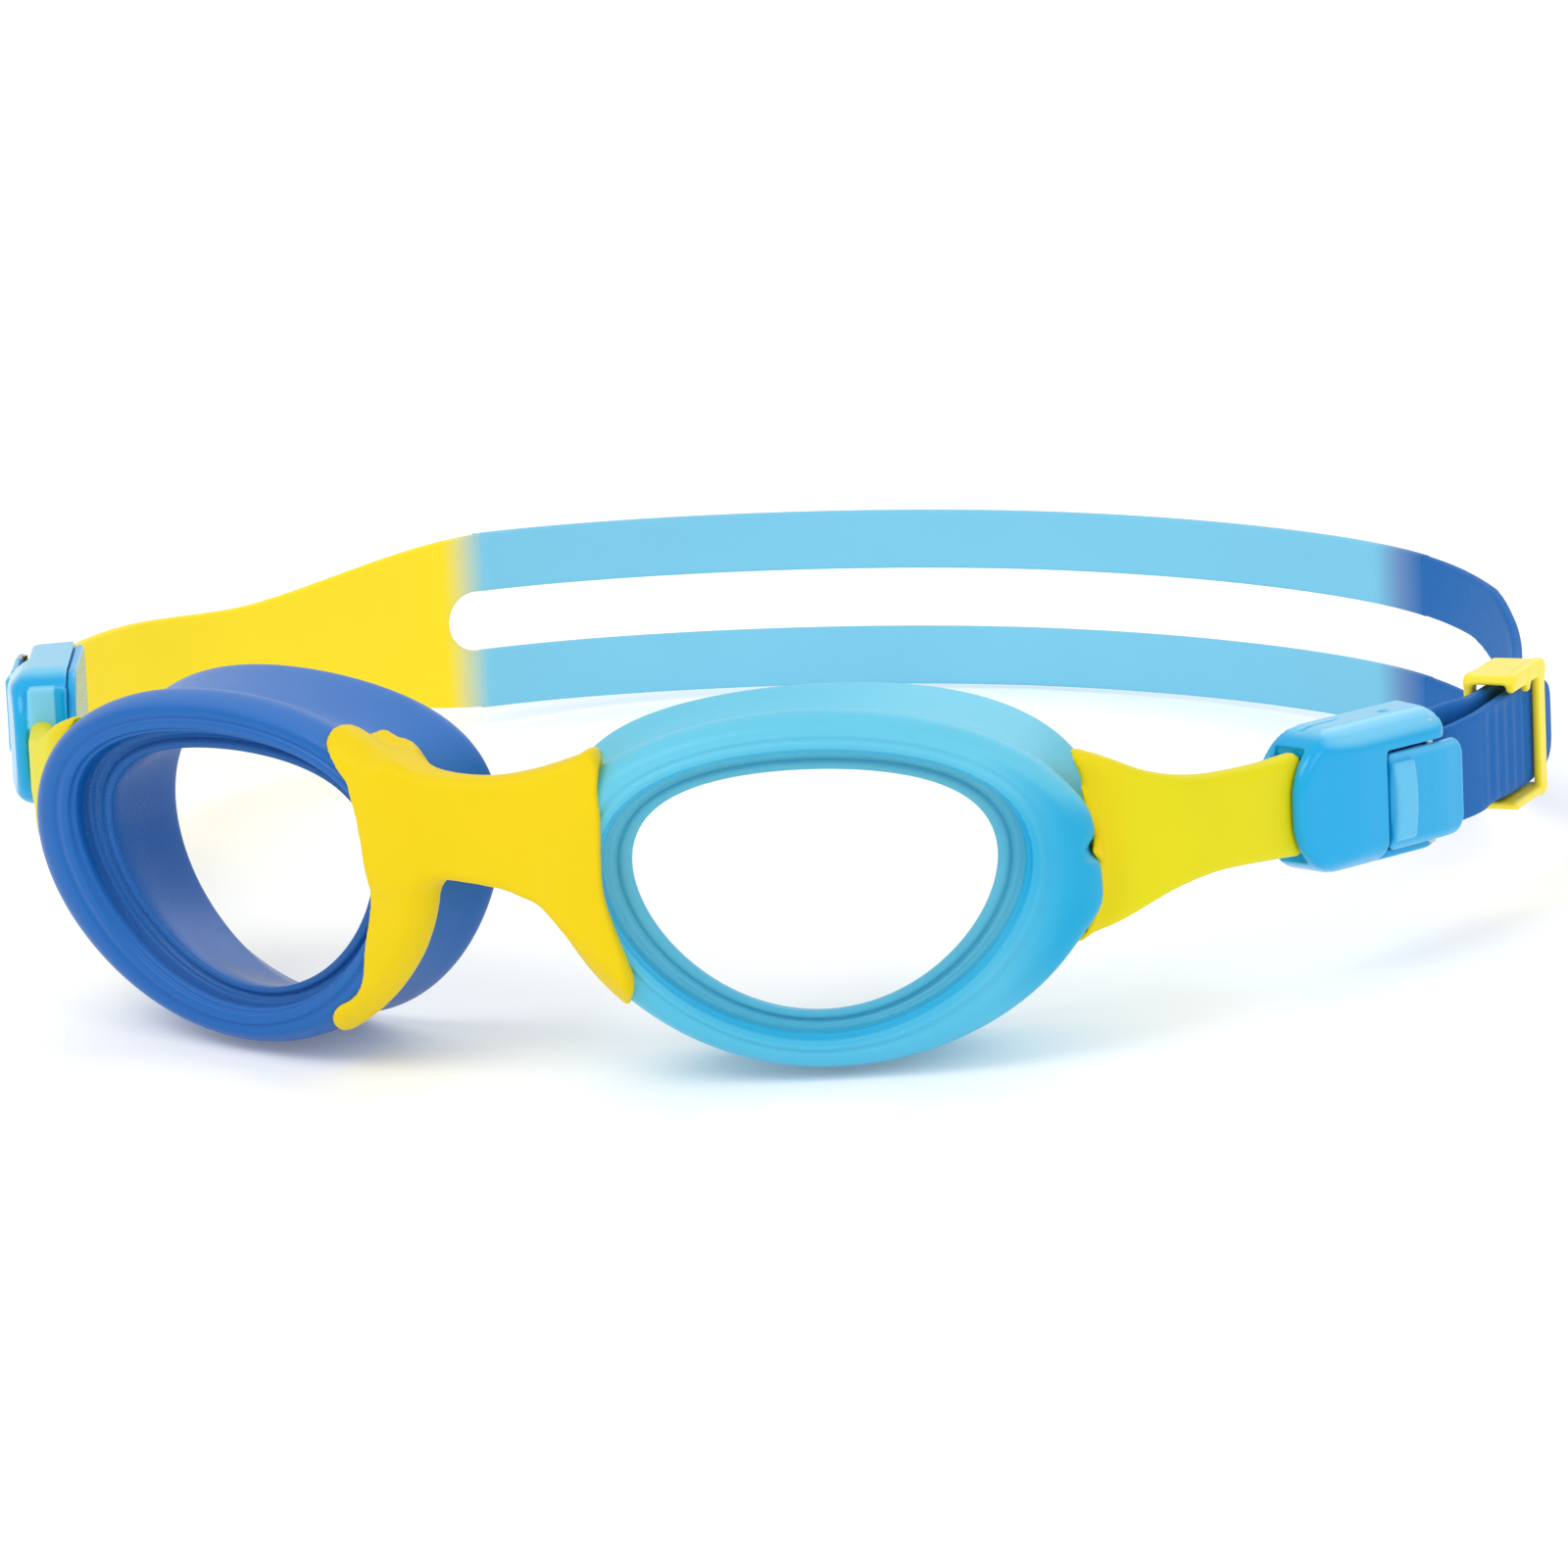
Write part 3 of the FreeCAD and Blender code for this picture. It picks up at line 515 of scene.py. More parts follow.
def make_lens(name, side):
    """A thin domed lens that fills the pocket, with a bevelled edge."""
    edge = np.array([23.87, 16.33, 3.68, -0.30, -0.24, 0.19, 0, 0])
    angles = np.arange(160) * 2 * math.pi / 160
    rings = []
    front = [(0.02, 0.50), (0.25, 0.51), (0.5, 0.55), (0.72, 0.64), (0.88, 0.78), (0.955, 0.92), (0.985, 1.1)]
    back = [(1.0, 1.35), (1.0, 2.7), (0.985, 2.95), (0.93, 3.0), (0.7, 2.9), (0.4, 2.8), (0.02, 2.75)]
    for share, depth in front + back:
        section = edge * share
        section[4:6] = edge[4:6]
        section[6:] = depth
        rings.append(egg_ring(section, angles))
    points = np.concatenate(rings)
    count = len(angles)
    faces = ring_faces(len(rings), count, False)
    caps = []
    for start in (0, (len(rings) - 1) * count):
        for k in range(count // 2 - 1):
            caps.append([start + k, start + k + 1, start + count - 2 - k, start + count - 1 - k])
    caps = np.array(caps)
    half = len(caps) // 2
    caps[:half] = caps[:half, ::-1]
    piece = new_mesh("clear_" + name, row(points, side), np.concatenate([faces, caps]), look["clear_lens"])
    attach(piece, "front")
    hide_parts(name)


for label, sign in (("left", 1), ("right", -1)):
    make_eyecup("eyecup_" + label, sign, look["turquoise_rubber" if sign > 0 else "blue_rubber"])
    make_lens("lens_" + label, sign)

# ---- forms laid on the cups ------------------------------------------------------------------------
LIP_START = (24.6, 17.1, 3.60, -0.10, -0.05, 0.17, 0.10, 0.10)
CROWN = 4
WIDEST = 6
SKIN = rounded([LIP_START] + OUTER[CROWN:], 2, closed=False)
WALL = SKIN[SKIN[:, 6] > OUTER[CROWN][6]]


def cup_distance(x, y, z, step, column):
    """Distance outside the cup's outer wall, on a grid; column 6 or 7 picks the depths.

    Each point is first placed against the widest outline, as so far outward and so deep; its distance
    is then measured to the wall's profile in that plane, so the nearly flat front stays smooth."""
    u, v, depth = cup_coordinates(np.stack([x, y, z], -1))
    lift, skew, du, dv = [np.interp(depth, WALL[:, column], WALL[:, i]) for i in (2, 3, 4, 5)]
    wide, high = OUTER[WIDEST][:2]
    c = (u - du) / wide
    form = np.sqrt(c ** 2 + ((v - dv - c * c * (lift - skew * c)) / high) ** 2 + 1e-9)
    slope = np.sqrt(sum(g ** 2 for g in np.gradient(form, step)))
    outward = (form - 1) / np.maximum(slope, 0.01)
    share = (c / form) ** 2
    best = np.full(u.shape, 1e9)
    away = np.full(u.shape, 1e9)
    for before, after in zip(SKIN[:-1], SKIN[1:]):
        start = (before[0] - wide) * share + (before[1] - high) * (1 - share)
        ex = (after[0] - wide) * share + (after[1] - high) * (1 - share) - start
        ey = after[column] - before[column]
        t = ((outward - start) * ex + (depth - before[column]) * ey) / (ex ** 2 + ey ** 2 + 1e-12)
        t = np.clip(t, 0, 1)
        dx, dy = outward - start - ex * t, depth - before[column] - ey * t
        gap = np.hypot(dx, dy)
        away = np.where(gap < best, np.where(dx * ey - dy * ex > 0, gap, -gap), away)
        best = np.minimum(gap, best)
    return away, u, v, depth


BLUE_SIDE = [(-17.7, 18.8), (-18.2, 17.2), (-19.4, 15.4), (-20.6, 13.9), (-22.0, 12.6),
             (-23.1, 10.4), (-23.6, 7.7), (-23.8, 4.5), (-23.6, 1.0), (-22.9, -2.4), (-21.9, -5.3),
             (-21.2, -7.7), (-20.8, -9.5), (-19.8, -11.5), (-18.2, -13.0), (-16.2, -14.0), (-15.2, -15.0),
             (-14.6, -16.4), (-14.4, -19.0), (-20.0, -22.0), (-40.0, -14.0), (-46.0, 2.0), (-40.0, 20.0),
             (-22.0, 23.0), (-17.6, 20.8)]
TURQUOISE_SIDE = [(-24.5, 18.0), (-24.6, 13.6), (-24.4, 10.4), (-24.5, 7.3), (-24.6, 3.1), (-24.3, 0.2),
                  (-23.3, -3.4), (-22.2, -6.7), (-21.6, -8.8), (-21.8, -10.8), (-22.6, -13.5),
                  (-30.0, -17.0), (-46.0, -6.0), (-44.0, 22.0), (-28.0, 24.0)]
# How deep each wing runs down the cup's side, at heights on the cup.
BLUE_REACH = [(-20, 7.5), (-12, 7.5), (-6, 5.4), (0, 4.9), (6, 7.5), (12, 10.0)]
TURQUOISE_REACH = [(-20, 5.0), (-9, 5.5), (0, 8.0), (8, 13.5), (14, 14.0)]
BAR = [(-13.0, 15.6), (-7.3, 14.4), (0.2, 14.2), (5.6, 15.0), (10.5, 16.4), (14.6, 17.6), (18.0, 8.0),
       (17.0, -9.5), (14.0, -7.6), (11.7, -4.9), (7.2, -1.0), (4.15, 0.44), (0.8, 1.45), (-6.9, 2.2),
       (-13.0, 1.4), (-17.0, 8.0)]


def make_bridge():
    step = 0.36
    (x, y, z), low = grid((-25, -10, -21), (25, 13, 21), step)
    bar_plane = outline_distance(x[:, :1], z[:, :1], curved(BAR))
    bow = np.abs(x) / 10
    front_y = -8.9 + 0.25 * bow ** 2
    rear_y = -4.6 + 3.6 * bow ** 2
    bar = smax(bar_plane, np.abs(y - (front_y + rear_y) / 2) - (rear_y - front_y) / 2, 1.8)
    field = None
    for side, outline, reach in ((-1, BLUE_SIDE, BLUE_REACH), (1, TURQUOISE_SIDE, TURQUOISE_REACH)):
        away, u, v, depth = cup_distance(x * side, y, z, step, 6)
        near = (u < -12) & (np.abs(depth) < 30)
        plan = np.full(u.shape, 9.0)
        plan[near] = outline_distance(u[near], v[near], curved(outline, parts=3))
        limit = np.interp(v, [p[0] for p in reach], [p[1] for p in reach])
        shell = smax(np.abs(away - 0.1) - 0.65, plan, 0.7)
        shell = smax(shell, depth - limit, 0.9)
        half = np.where(x * side > 0, smax(bar, plan, 0.8), 9.0)
        part = smin(shell, half, 2.2)
        part = smax(part, -(away + 0.55), 0.3)
        field = part if field is None else np.where(x * side > 0, part, field)
    vertices, faces = surface_net(field, low, step)
    vertices = relax(vertices, faces, 3)
    piece = new_mesh("soft_nose_bridge", row(vertices), faces, look["yellow_rubber"])
    tint(piece, np.zeros(len(vertices)))
    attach(piece, "front")
    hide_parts("nose_bridge")


make_bridge()

# ---- temple arms -----------------------------------------------------------------------------------
BUCKLE_MID = np.array([85.0, 52.4, 3.65])
BUCKLE_YAW = math.radians(23.3)
ALONG = np.array([math.sin(BUCKLE_YAW), math.cos(BUCKLE_YAW), 0])
OUTWARD = np.array([ALONG[1], -ALONG[0], 0])
BUCKLE_FRONT = 15.0

LOBES = [(29.6, 15.5), (29.0, 13.8), (29.5, 12.4), (30.3, 10.4), (30.7, 8.4), (30.4, 6.2), (29.2, 4.6),
         (28.6, 4.0), (29.3, 3.0), (30.6, 0.8), (31.2, -2.0), (31.1, -4.6), (30.3, -6.6), (29.5, -8.5),
         (46.0, -10.0), (46.0, 18.0)]


def nearest_on_path(x, y, path):
    """Distance along a plan line and signed distance to its outer side, for points in the plan."""
    best = np.full(x.shape, 1e9)
    along = np.zeros(x.shape)
    offset = np.zeros(x.shape)
    start = 0.0
    for (x0, y0), (x1, y1) in zip(path[:-1], path[1:]):
        ex, ey = x1 - x0, y1 - y0
        length = math.hypot(ex, ey)
        t = ((x - x0) * ex + (y - y0) * ey) / length ** 2
        t = np.clip(t, 0, 1)
        dx, dy = x - x0 - ex * t, y - y0 - ey * t
        gap = np.hypot(dx, dy)
        closer = gap < best
        best = np.where(closer, gap, best)
        along = np.where(closer, start + t * length, along)
        offset = np.where(closer, ((x - x0) * ey - (y - y0) * ex) / length, offset)
        start += length
    return along, offset


def make_arm(name, side, lift):
    step = 0.4
    end = BUCKLE_MID - ALONG * (BUCKLE_FRONT - 3.0) - OUTWARD * 0.3
    path = curved([(59.0, 14.4), (64.8, 17.2), (68.3, 20.8), (71.6, 25.0), (74.2, 29.6), (76.8, 34.1),
                   (79.0, 39.0), tuple(end[:2])], closed=False)
    (x, y, z), low = grid((58, 6, -9), (82, 42, 17), step)
    along, offset = nearest_on_path(x[:, :, :1], y[:, :, :1], path)
    far = along - 7.9
    top_lift = lift - 3.2 if side < 0 else lift
    tall = curved([(-8, 16.0), (-1.5, 14.0), (5, 11.2), (12, 9.85), (20, 9.7), (25, 9.9), (32, 10.1)], False)
    deep = curved([(-8, -8.0), (-1.5, -6.1), (3, -4.5), (8, -2.7), (14, -1.8), (22, -1.9), (32, -2.7)], False)
    top = np.interp(far, tall[:, 0], tall[:, 1]) + smooth_step(far, 8, 22, 0, top_lift)
    bottom = np.interp(far, deep[:, 0], deep[:, 1]) + smooth_step(far, 8, 22, 0, lift)
    sheet = smax(np.abs(offset) - 1.5, np.abs(z - (top + bottom) / 2) - (top - bottom) / 2, 1.6)
    sheet = smax(sheet, along - (len_of(path) - 0.4), 0.6)
    away, u, v, depth = cup_distance(x, y, z, step, 7)
    plan = np.full(u.shape, 9.0)
    near = (u > 24) & (u < 40)
    plan[near] = outline_distance(u[near], v[near], curved(LOBES, parts=3))
    plan[u >= 40] = -3
    patch = smax(smax(np.abs(away - 0.05) - 0.55, plan, 0.5), depth - 12.5, 1.2)
    first = 7.0 if side < 0 else 5.0 - 3.0 * np.exp(-((v - 3.9) / 2.0) ** 2)
    patch = smax(patch, first - depth, 0.8)
    height = smax(v - smooth_step(depth, 2, 14, 13.8, 11.2), -6.9 - v, 1.0)
    patch = smax(patch, height, 0.8)
    sheet = smax(sheet, np.where(u < 40, plan, -3), 0.6)
    field = smax(smin(patch, sheet, 2.4), -(away + 0.6), 0.3)
    vertices, faces = surface_net(field, low, step)
    vertices = relax(vertices, faces, 3)
    piece = new_mesh("soft_arm_" + name, row(vertices, side), faces, look["yellow_rubber"])
    # Painted shade: the arm further back takes the second, greener yellow, the colour it shows in shade.
    tint(piece, smooth_step(vertices[:, 1], 12, 20))
    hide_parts("temple_arm_" + name, "arm_end_" + name)
    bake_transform(piece)


def len_of(path):
    return float(np.hypot(*np.diff(path, axis=0).T).sum())


make_arm("left", 1, 0.0)
make_arm("right", -1, RIGHT_LIFT)

# ---- strap -----------------------------------------------------------------------------------------
STRAP_MID = 3.65
BAND_OUTER = 11.55
SPLIT_HALF = 3.9
SPLIT_START = 90.3
SEAM = 95.0
SEAM_OVER = 1.5
HALF_THICK = 0.65
THIN_STEP = 0.2
STRIP_HALF = 6.6
LEAVE_BUCKLE = 13.5
LAYERS_MEET = 21
INNER_LAYER = -2.2
OUTER_LAYER = 0.8
LAYER_APART = 1.15
START = 0.6
LOW_Z, HIGH_Z = -9.5, 17


def loop_line():
    """Plan line of the whole strap: distance from the left buckle, points and outward directions."""
    straight = [BUCKLE_MID[:2] + ALONG[:2] * a for a in (-BUCKLE_FRONT, -7.5, 0.0, 7.5, 13.5)]
    back = [(91.45, 70.5), (91.7, 78), (91.7, 86), (91.2, 94), (87, 105), (80.4, 117.2), (71.3, 131),
            (60.1, 142.8), (46.4, 151.8), (31.4, 158.2), (15.7, 162.2), (0, 163.6)]
    points = np.array(straight + back)
    knots = np.concatenate([[0], np.cumsum(np.hypot(*np.diff(points, axis=0).T))])
    h = np.diff(knots)
    count = len(knots)
    matrix = np.zeros((count, count))
    right = np.zeros((count, 2))
    rate = np.diff(points, axis=0) / h[:, None]
    matrix[0, :2] = 2 * h[0], h[0]
    matrix[-1, -2:] = h[-1], 2 * h[-1]
    right[0] = 6 * (rate[0] - ALONG[:2])
    right[-1] = 6 * (np.array([-1, 0]) - rate[-1])
    for i in range(1, count - 1):
        matrix[i, i - 1:i + 2] = h[i - 1], 2 * (h[i - 1] + h[i]), h[i]
        right[i] = 6 * (rate[i] - rate[i - 1])
    bend = np.linalg.solve(matrix, right)
    at = np.linspace(0, knots[-1], 2000)
    k = np.clip(np.searchsorted(knots, at) - 1, 0, count - 2)
    s, r, w = (at - knots[k])[:, None], (knots[k + 1] - at)[:, None], h[k][:, None]
    line = ((bend[k] * r ** 3 + bend[k + 1] * s ** 3) / (6 * w) +
            (points[k] / w - bend[k] * w / 6) * r + (points[k + 1] / w - bend[k + 1] * w / 6) * s)
    half = np.concatenate([[0], np.cumsum(np.hypot(*np.diff(line, axis=0).T))]) - BUCKLE_FRONT
    distance = np.concatenate([half, 2 * half[-1] - half[-2::-1]])
    line = np.concatenate([line, line[-2::-1] * [-1, 1]])
    forward = np.gradient(line, distance, axis=0)
    forward /= np.hypot(*forward.T)[:, None]
    return distance, line, np.stack([forward[:, 1], -forward[:, 0]], 1), half[-1]


LOOP_S, LOOP_P, LOOP_OUT, HALF_LOOP = loop_line()


def on_loop(s, offset, z):
    x, y = [np.interp(s, LOOP_S, LOOP_P[:, i]) for i in (0, 1)]
    ox, oy = [np.interp(s, LOOP_S, LOOP_OUT[:, i]) for i in (0, 1)]
    return np.stack([x + ox * offset, y + oy * offset, z], -1)


def strap_net(outline, length, offset_at, low_z, high_z, thick_at=None, step=0.36):
    """A strap piece drawn flat, then laid along the loop: outline in distance and height."""
    (s, o, z), low = grid_uneven(length, low_z, high_z, step)
    plane = outline_distance(s[:, :1], z[:, :1], np.array(outline))
    thick = HALF_THICK if thick_at is None else thick_at(s, z, o)
    field = smax(plane, np.abs(o) - thick, 0.55)
    vertices, faces = surface_net(field, (0, 0, 0), 1.0)
    vertices = low + vertices * np.array([step, THIN_STEP, step])
    offset = vertices[:, 1] + offset_at(vertices[:, 0])
    return on_loop(vertices[:, 0], offset, vertices[:, 2]), faces


def grid_uneven(length, low_z, high_z, step):
    axes = [np.arange(length[0] - 2 * step, length[1] + 3 * step, step), np.arange(-1.5, 1.55, THIN_STEP),
            np.arange(low_z - 2 * step, high_z + 3 * step, step)]
    return np.meshgrid(*axes, indexing="ij"), np.array([axis[0] for axis in axes])


def left_offset(s):
    return np.where(s < 30, smooth_step(s, LEAVE_BUCKLE, LAYERS_MEET, INNER_LAYER, -LAYER_APART),
                    smooth_step(s, 43, 58, -LAYER_APART, 0))


def tail_offset(s):
    """Beside the strip, then standing off a little at the free end behind the keeper."""
    beside = smooth_step(s, LEAVE_BUCKLE, LAYERS_MEET, OUTER_LAYER, LAYER_APART)
    return beside + smooth_step(s, 40, 46, 0, 1.25)


def yoke_outline(half_at, gap_at, mid_at, round_end):
    """Strip, widening and the two legs up to the seam; the gap has a round or a pointed end."""
    far = np.append(np.arange(START, SEAM, 1.0), SEAM + 1.0)
    top = [(s, mid_at(s) + half_at(s)) for s in far]
    low = [(s, mid_at(s) - half_at(s)) for s in far]
    if round_end:
        centre = SPLIT_START + SPLIT_HALF
        turn = np.linspace(0, math.pi, 19)
        gap = [(centre - SPLIT_HALF * math.sin(t), mid_at(centre) + SPLIT_HALF * math.cos(t)) for t in turn]
        gap = [(far[-1], STRAP_MID + SPLIT_HALF)] + gap + [(far[-1], STRAP_MID - SPLIT_HALF)]
    else:
        inner = [s for s in far if gap_at(s) > 0.02]
        gap = [(s, STRAP_MID + gap_at(s)) for s in inner[::-1]]
        gap += [(s, STRAP_MID - gap_at(s)) for s in inner]
    return top + gap + low[::-1]


def finish_strap(piece, node):
    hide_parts(node)
    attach(piece, "strap")


def make_right_end():
    outline = yoke_outline(
        lambda s: float(smooth_step(s, 55, 98, STRIP_HALF, BAND_OUTER)), None,
        lambda s: STRAP_MID + float(smooth_step(s, LEAVE_BUCKLE, 62, RIGHT_LIFT, 0)), True)
    points, faces = strap_net(outline, (0, SEAM + SEAM_OVER),
                              lambda s: smooth_step(s, LEAVE_BUCKLE, 40, INNER_LAYER, 0), LOW_Z, HIGH_Z)
    piece = new_mesh("strap_right", row(points, -1), faces, look["strap"])
    finish_strap(piece, "strap_right_end")


def make_left_end():
    outline = yoke_outline(
        lambda s: float(smooth_step(s, 43, 70, STRIP_HALF, BAND_OUTER)),
        lambda s: float(smooth_step(s, 50, 80, 0, SPLIT_HALF)),
        lambda s: STRAP_MID + 0.45 * math.exp(-((s - 18) / 5) ** 2), False)
    points, faces = strap_net(outline, (0, SEAM + SEAM_OVER), left_offset, LOW_Z, HIGH_Z)
    piece = new_mesh("strap_left", row(points), faces, look["strap"])
    finish_strap(piece, "strap_left_end")


def make_tail():
    top = [(START, 8.9), (11, 8.7), (20, 9.3), (28, 9.5), (38, 9.5), (42.5, 8.9), (45.0, 7.6), (45.8, 5.6)]
    low = [(45.8, 1.6), (45.0, -0.6), (42.5, -2.2), (38, -2.8), (30, -2.8), (24, -2.4), (19, -2.8),
           (14, -2.9), (START, -2.9)]

    def thick(s, z, o):
        rib = np.cos((s - 30.5) * 2 * math.pi / 3.4) * smooth_step(np.abs(s - 29), 9.5, 7.5)
        edge = smooth_step(np.abs(z - 3.4), 6.2, 4.2)
        return HALF_THICK + np.where(o > 0, 0.2, 0.0) * rib * edge

    outline = curved(top + low, parts=4)
    outline[:, 0] = np.maximum(outline[:, 0], START)
    points, faces = strap_net(outline, (0, 46.5), tail_offset, -4, 11, thick)
    piece = new_mesh("strap_loose_end", row(points), faces, look["strap"])
    finish_strap(piece, "strap_tail")


def make_band(name, node, middle):
    """One band from seam to seam; its ends follow the strap and its back follows the band's body."""
    half = (BAND_OUTER - SPLIT_HALF) / 2
    stations = np.linspace(SEAM - 0.5, 2 * HALF_LOOP - SEAM + 0.5, 190)
    corner = 0.42
    turn = np.linspace(0, math.pi / 2, 5)
    ring = []
    for so, sz, begin in ((1, 1, 0), (-1, 1, 1), (-1, -1, 0), (1, -1, 1)):
        for t in (turn if begin == 0 else turn[::-1]):
            ring.append((so * (HALF_THICK + 0.015 - corner + corner * math.cos(t)),
                         sz * (half + 0.015 - corner + corner * math.sin(t))))
    flat = []
    for i in range(len(ring)):
        flat.append(ring[i])
        following = ring[(i + 1) % len(ring)]
        if math.hypot(following[0] - ring[i][0], following[1] - ring[i][1]) > 2:
            flat.extend([tuple(np.array(ring[i]) + (np.array(following) - np.array(ring[i])) * k / 8)
                         for k in range(1, 8)])
    ring = np.array(flat)
    s = np.repeat(stations, len(ring))
    section = np.tile(ring, (len(stations), 1))
    points = on_loop(s, section[:, 0], middle + section[:, 1])
    faces = ring_faces(len(stations), len(ring), False)
    caps = []
    n = len(ring)
    for start in (0, (len(stations) - 1) * n):
        order = [start + (k + n // 4) % n for k in range(n)]
        cap = [[order[k], order[k + 1], order[n - 2 - k], order[n - 1 - k]] for k in range(n // 2 - 1)]
        caps.append(np.array(cap)[:, ::-1] if start == 0 else np.array(cap))
    piece = new_mesh(name, row(points), np.concatenate([faces] + caps), look["strap"])
    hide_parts(node)
    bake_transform(piece)


make_right_end()
make_left_end()
make_tail()
BAND_MID = (BAND_OUTER + SPLIT_HALF) / 2
make_band("strap_upper_band", "upper_band", STRAP_MID + BAND_MID)
make_band("strap_lower_band", "lower_band", STRAP_MID - BAND_MID)

# ---- buckles ---------------------------------------------------------------------------------------
BUCKLE_REAR = 11.0
BUCKLE_HALF = 8.5
FRONT_R, REAR_R = 7.6, 2.4
WALL_THICK = 1.3
COVER_FACE = -3.2
BEVEL_START = 2.0
BEVEL_UP, BEVEL_OUT = 0.766, 0.643
LEVER_AT, LEVER_OUT = 7.2, 3.1


def in_buckle(points):
    """From the buckle's own axes, along the strap, outward and up, to the worn pose."""
    return BUCKLE_MID + points[:, :1] * ALONG + points[:, 1:2] * OUTWARD + points[:, 2:] * UP


def buckle_plane(a, z, front, rear, half, front_r, rear_r):
    """Signed distance to the plate seen from the side: round front end, smaller corners at the rear."""
    r = np.where(a < (front + rear) / 2, front_r, rear_r)
    mid = (front + rear) / 2
    qa = np.abs(a - mid) - ((rear - front) / 2 - r)
    qz = np.abs(z) - (half - r)
    return np.hypot(np.maximum(qa, 0), np.maximum(qz, 0)) + np.minimum(np.maximum(qa, qz), 0) - r


def bevel_distance(o, z):
    """Distance outside the bevels along the upper and lower edges of the outer face."""
    return (np.abs(z) - BUCKLE_HALF) * BEVEL_UP + (o - BEVEL_START) * BEVEL_OUT


def net_sides(side):
    """The same moulding serves both sides: the right one is turned over about the strap's line."""
    return np.array([1, 1, side])


def make_housing(name, side, lift):
    step = 0.24
    (a, o, z), low = grid((-15, -3.3, -8.6), (11.2, 4.6, 8.6), step)
    lean = smooth_step(a, -4, 8, 0, 0.22) * (o - COVER_FACE)
    plane = buckle_plane(a + lean, z, -BUCKLE_FRONT, BUCKLE_REAR, BUCKLE_HALF, FRONT_R, REAR_R)
    face = 4.4 - 1.1 * smooth_step(-a, 5, 15) - 0.3 * smooth_step(a, 7, 11)
    body = smax(smax(plane, o - face, 1.5), bevel_distance(o, z), 0.9)
    body = np.maximum(body, COVER_FACE - o)
    inner = buckle_plane(a, z, -BUCKLE_FRONT, 30.0, BUCKLE_HALF, FRONT_R, REAR_R) + WALL_THICK
    hollow = smax(np.maximum(inner, o - 2.9), -13.9 - a, 0.3)
    mouth = rounded_box(a, o, z, (-18, -6, -6.65), (-12, 1.5, 6.65), 0.3)
    bay = rounded_box(a, o, z, (-1.25, 2.0, -12.0), (18, 8, 4.85), 0.4)
    seam = rounded_box(a, o, z, (-11.5, -1.6, 7.9), (-3.5, -1.2, 9.5), 0.1)
    hole = np.hypot((a - 3.2) / 1.5, o + 0.2) - 0.5
    hole = np.maximum(hole, 6.8 - z)
    for cut in (hollow, mouth, bay, seam, hole):
        body = smax(body, -cut, 0.25)
    if side < 0:
        insert = rounded_box(a, o, z, (-14.9, -3.3, -7.0), (-12.0, 1.4, -1.0), 0.5)
        body = smin(body, insert, 0.2)
    vertices, faces = surface_net(body, low, step)
    vertices = relax(vertices, faces, 2)
    placed = row(in_buckle(vertices * net_sides(side)), side, lift)
    piece = new_mesh("moulded_housing_" + name, placed, faces, look["buckle_cyan"])
    bevel = bevel_distance(vertices[:, 1], vertices[:, 2])
    # Painted highlight: the bevel along the upper edge and the top face take the paler cyan, as if catching
    # the light from above.
    painted_bevel_highlight = smooth_step(bevel, -0.5, 0.1) * smooth_step(vertices[:, 2] * side, 4, 6.5)
    top = smooth_step(vertices[:, 2] * side, 7.4, 8.4)
    window = (vertices[:, 0] < -12.4) * (np.abs(vertices[:, 2] + 4.6) < 2.6) * (side < 0)
    tint(piece, np.maximum(np.maximum(painted_bevel_highlight, top) * 0.8, window * (np.abs(vertices[:, 1] + 0.2) < 1.75)))
    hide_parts("buckle_housing_" + name)
    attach(piece, "strap")


def make_cover(name, side, lift):
    step = 0.3
    (a, o, z), low = grid((-14.6, -4.4, -8.1), (10.6, -3.2, 8.1), step)
    plane = buckle_plane(a[:, :1], z[:, :1], -14.6, 10.6, 8.1, 7.2, 2.0)
    body = smax(plane, np.abs(o + 3.79) - 0.58, 0.5)
    vertices, faces = surface_net(body, low, step)
    vertices = relax(vertices, faces, 2)
    placed = row(in_buckle(vertices * net_sides(side)), side, lift)
    piece = new_mesh("moulded_cover_" + name, placed, faces, look["buckle_cyan"])
    tint(piece, np.zeros(len(vertices)) + 0.1)
    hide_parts("buckle_cover_" + name)
    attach(piece, "strap")


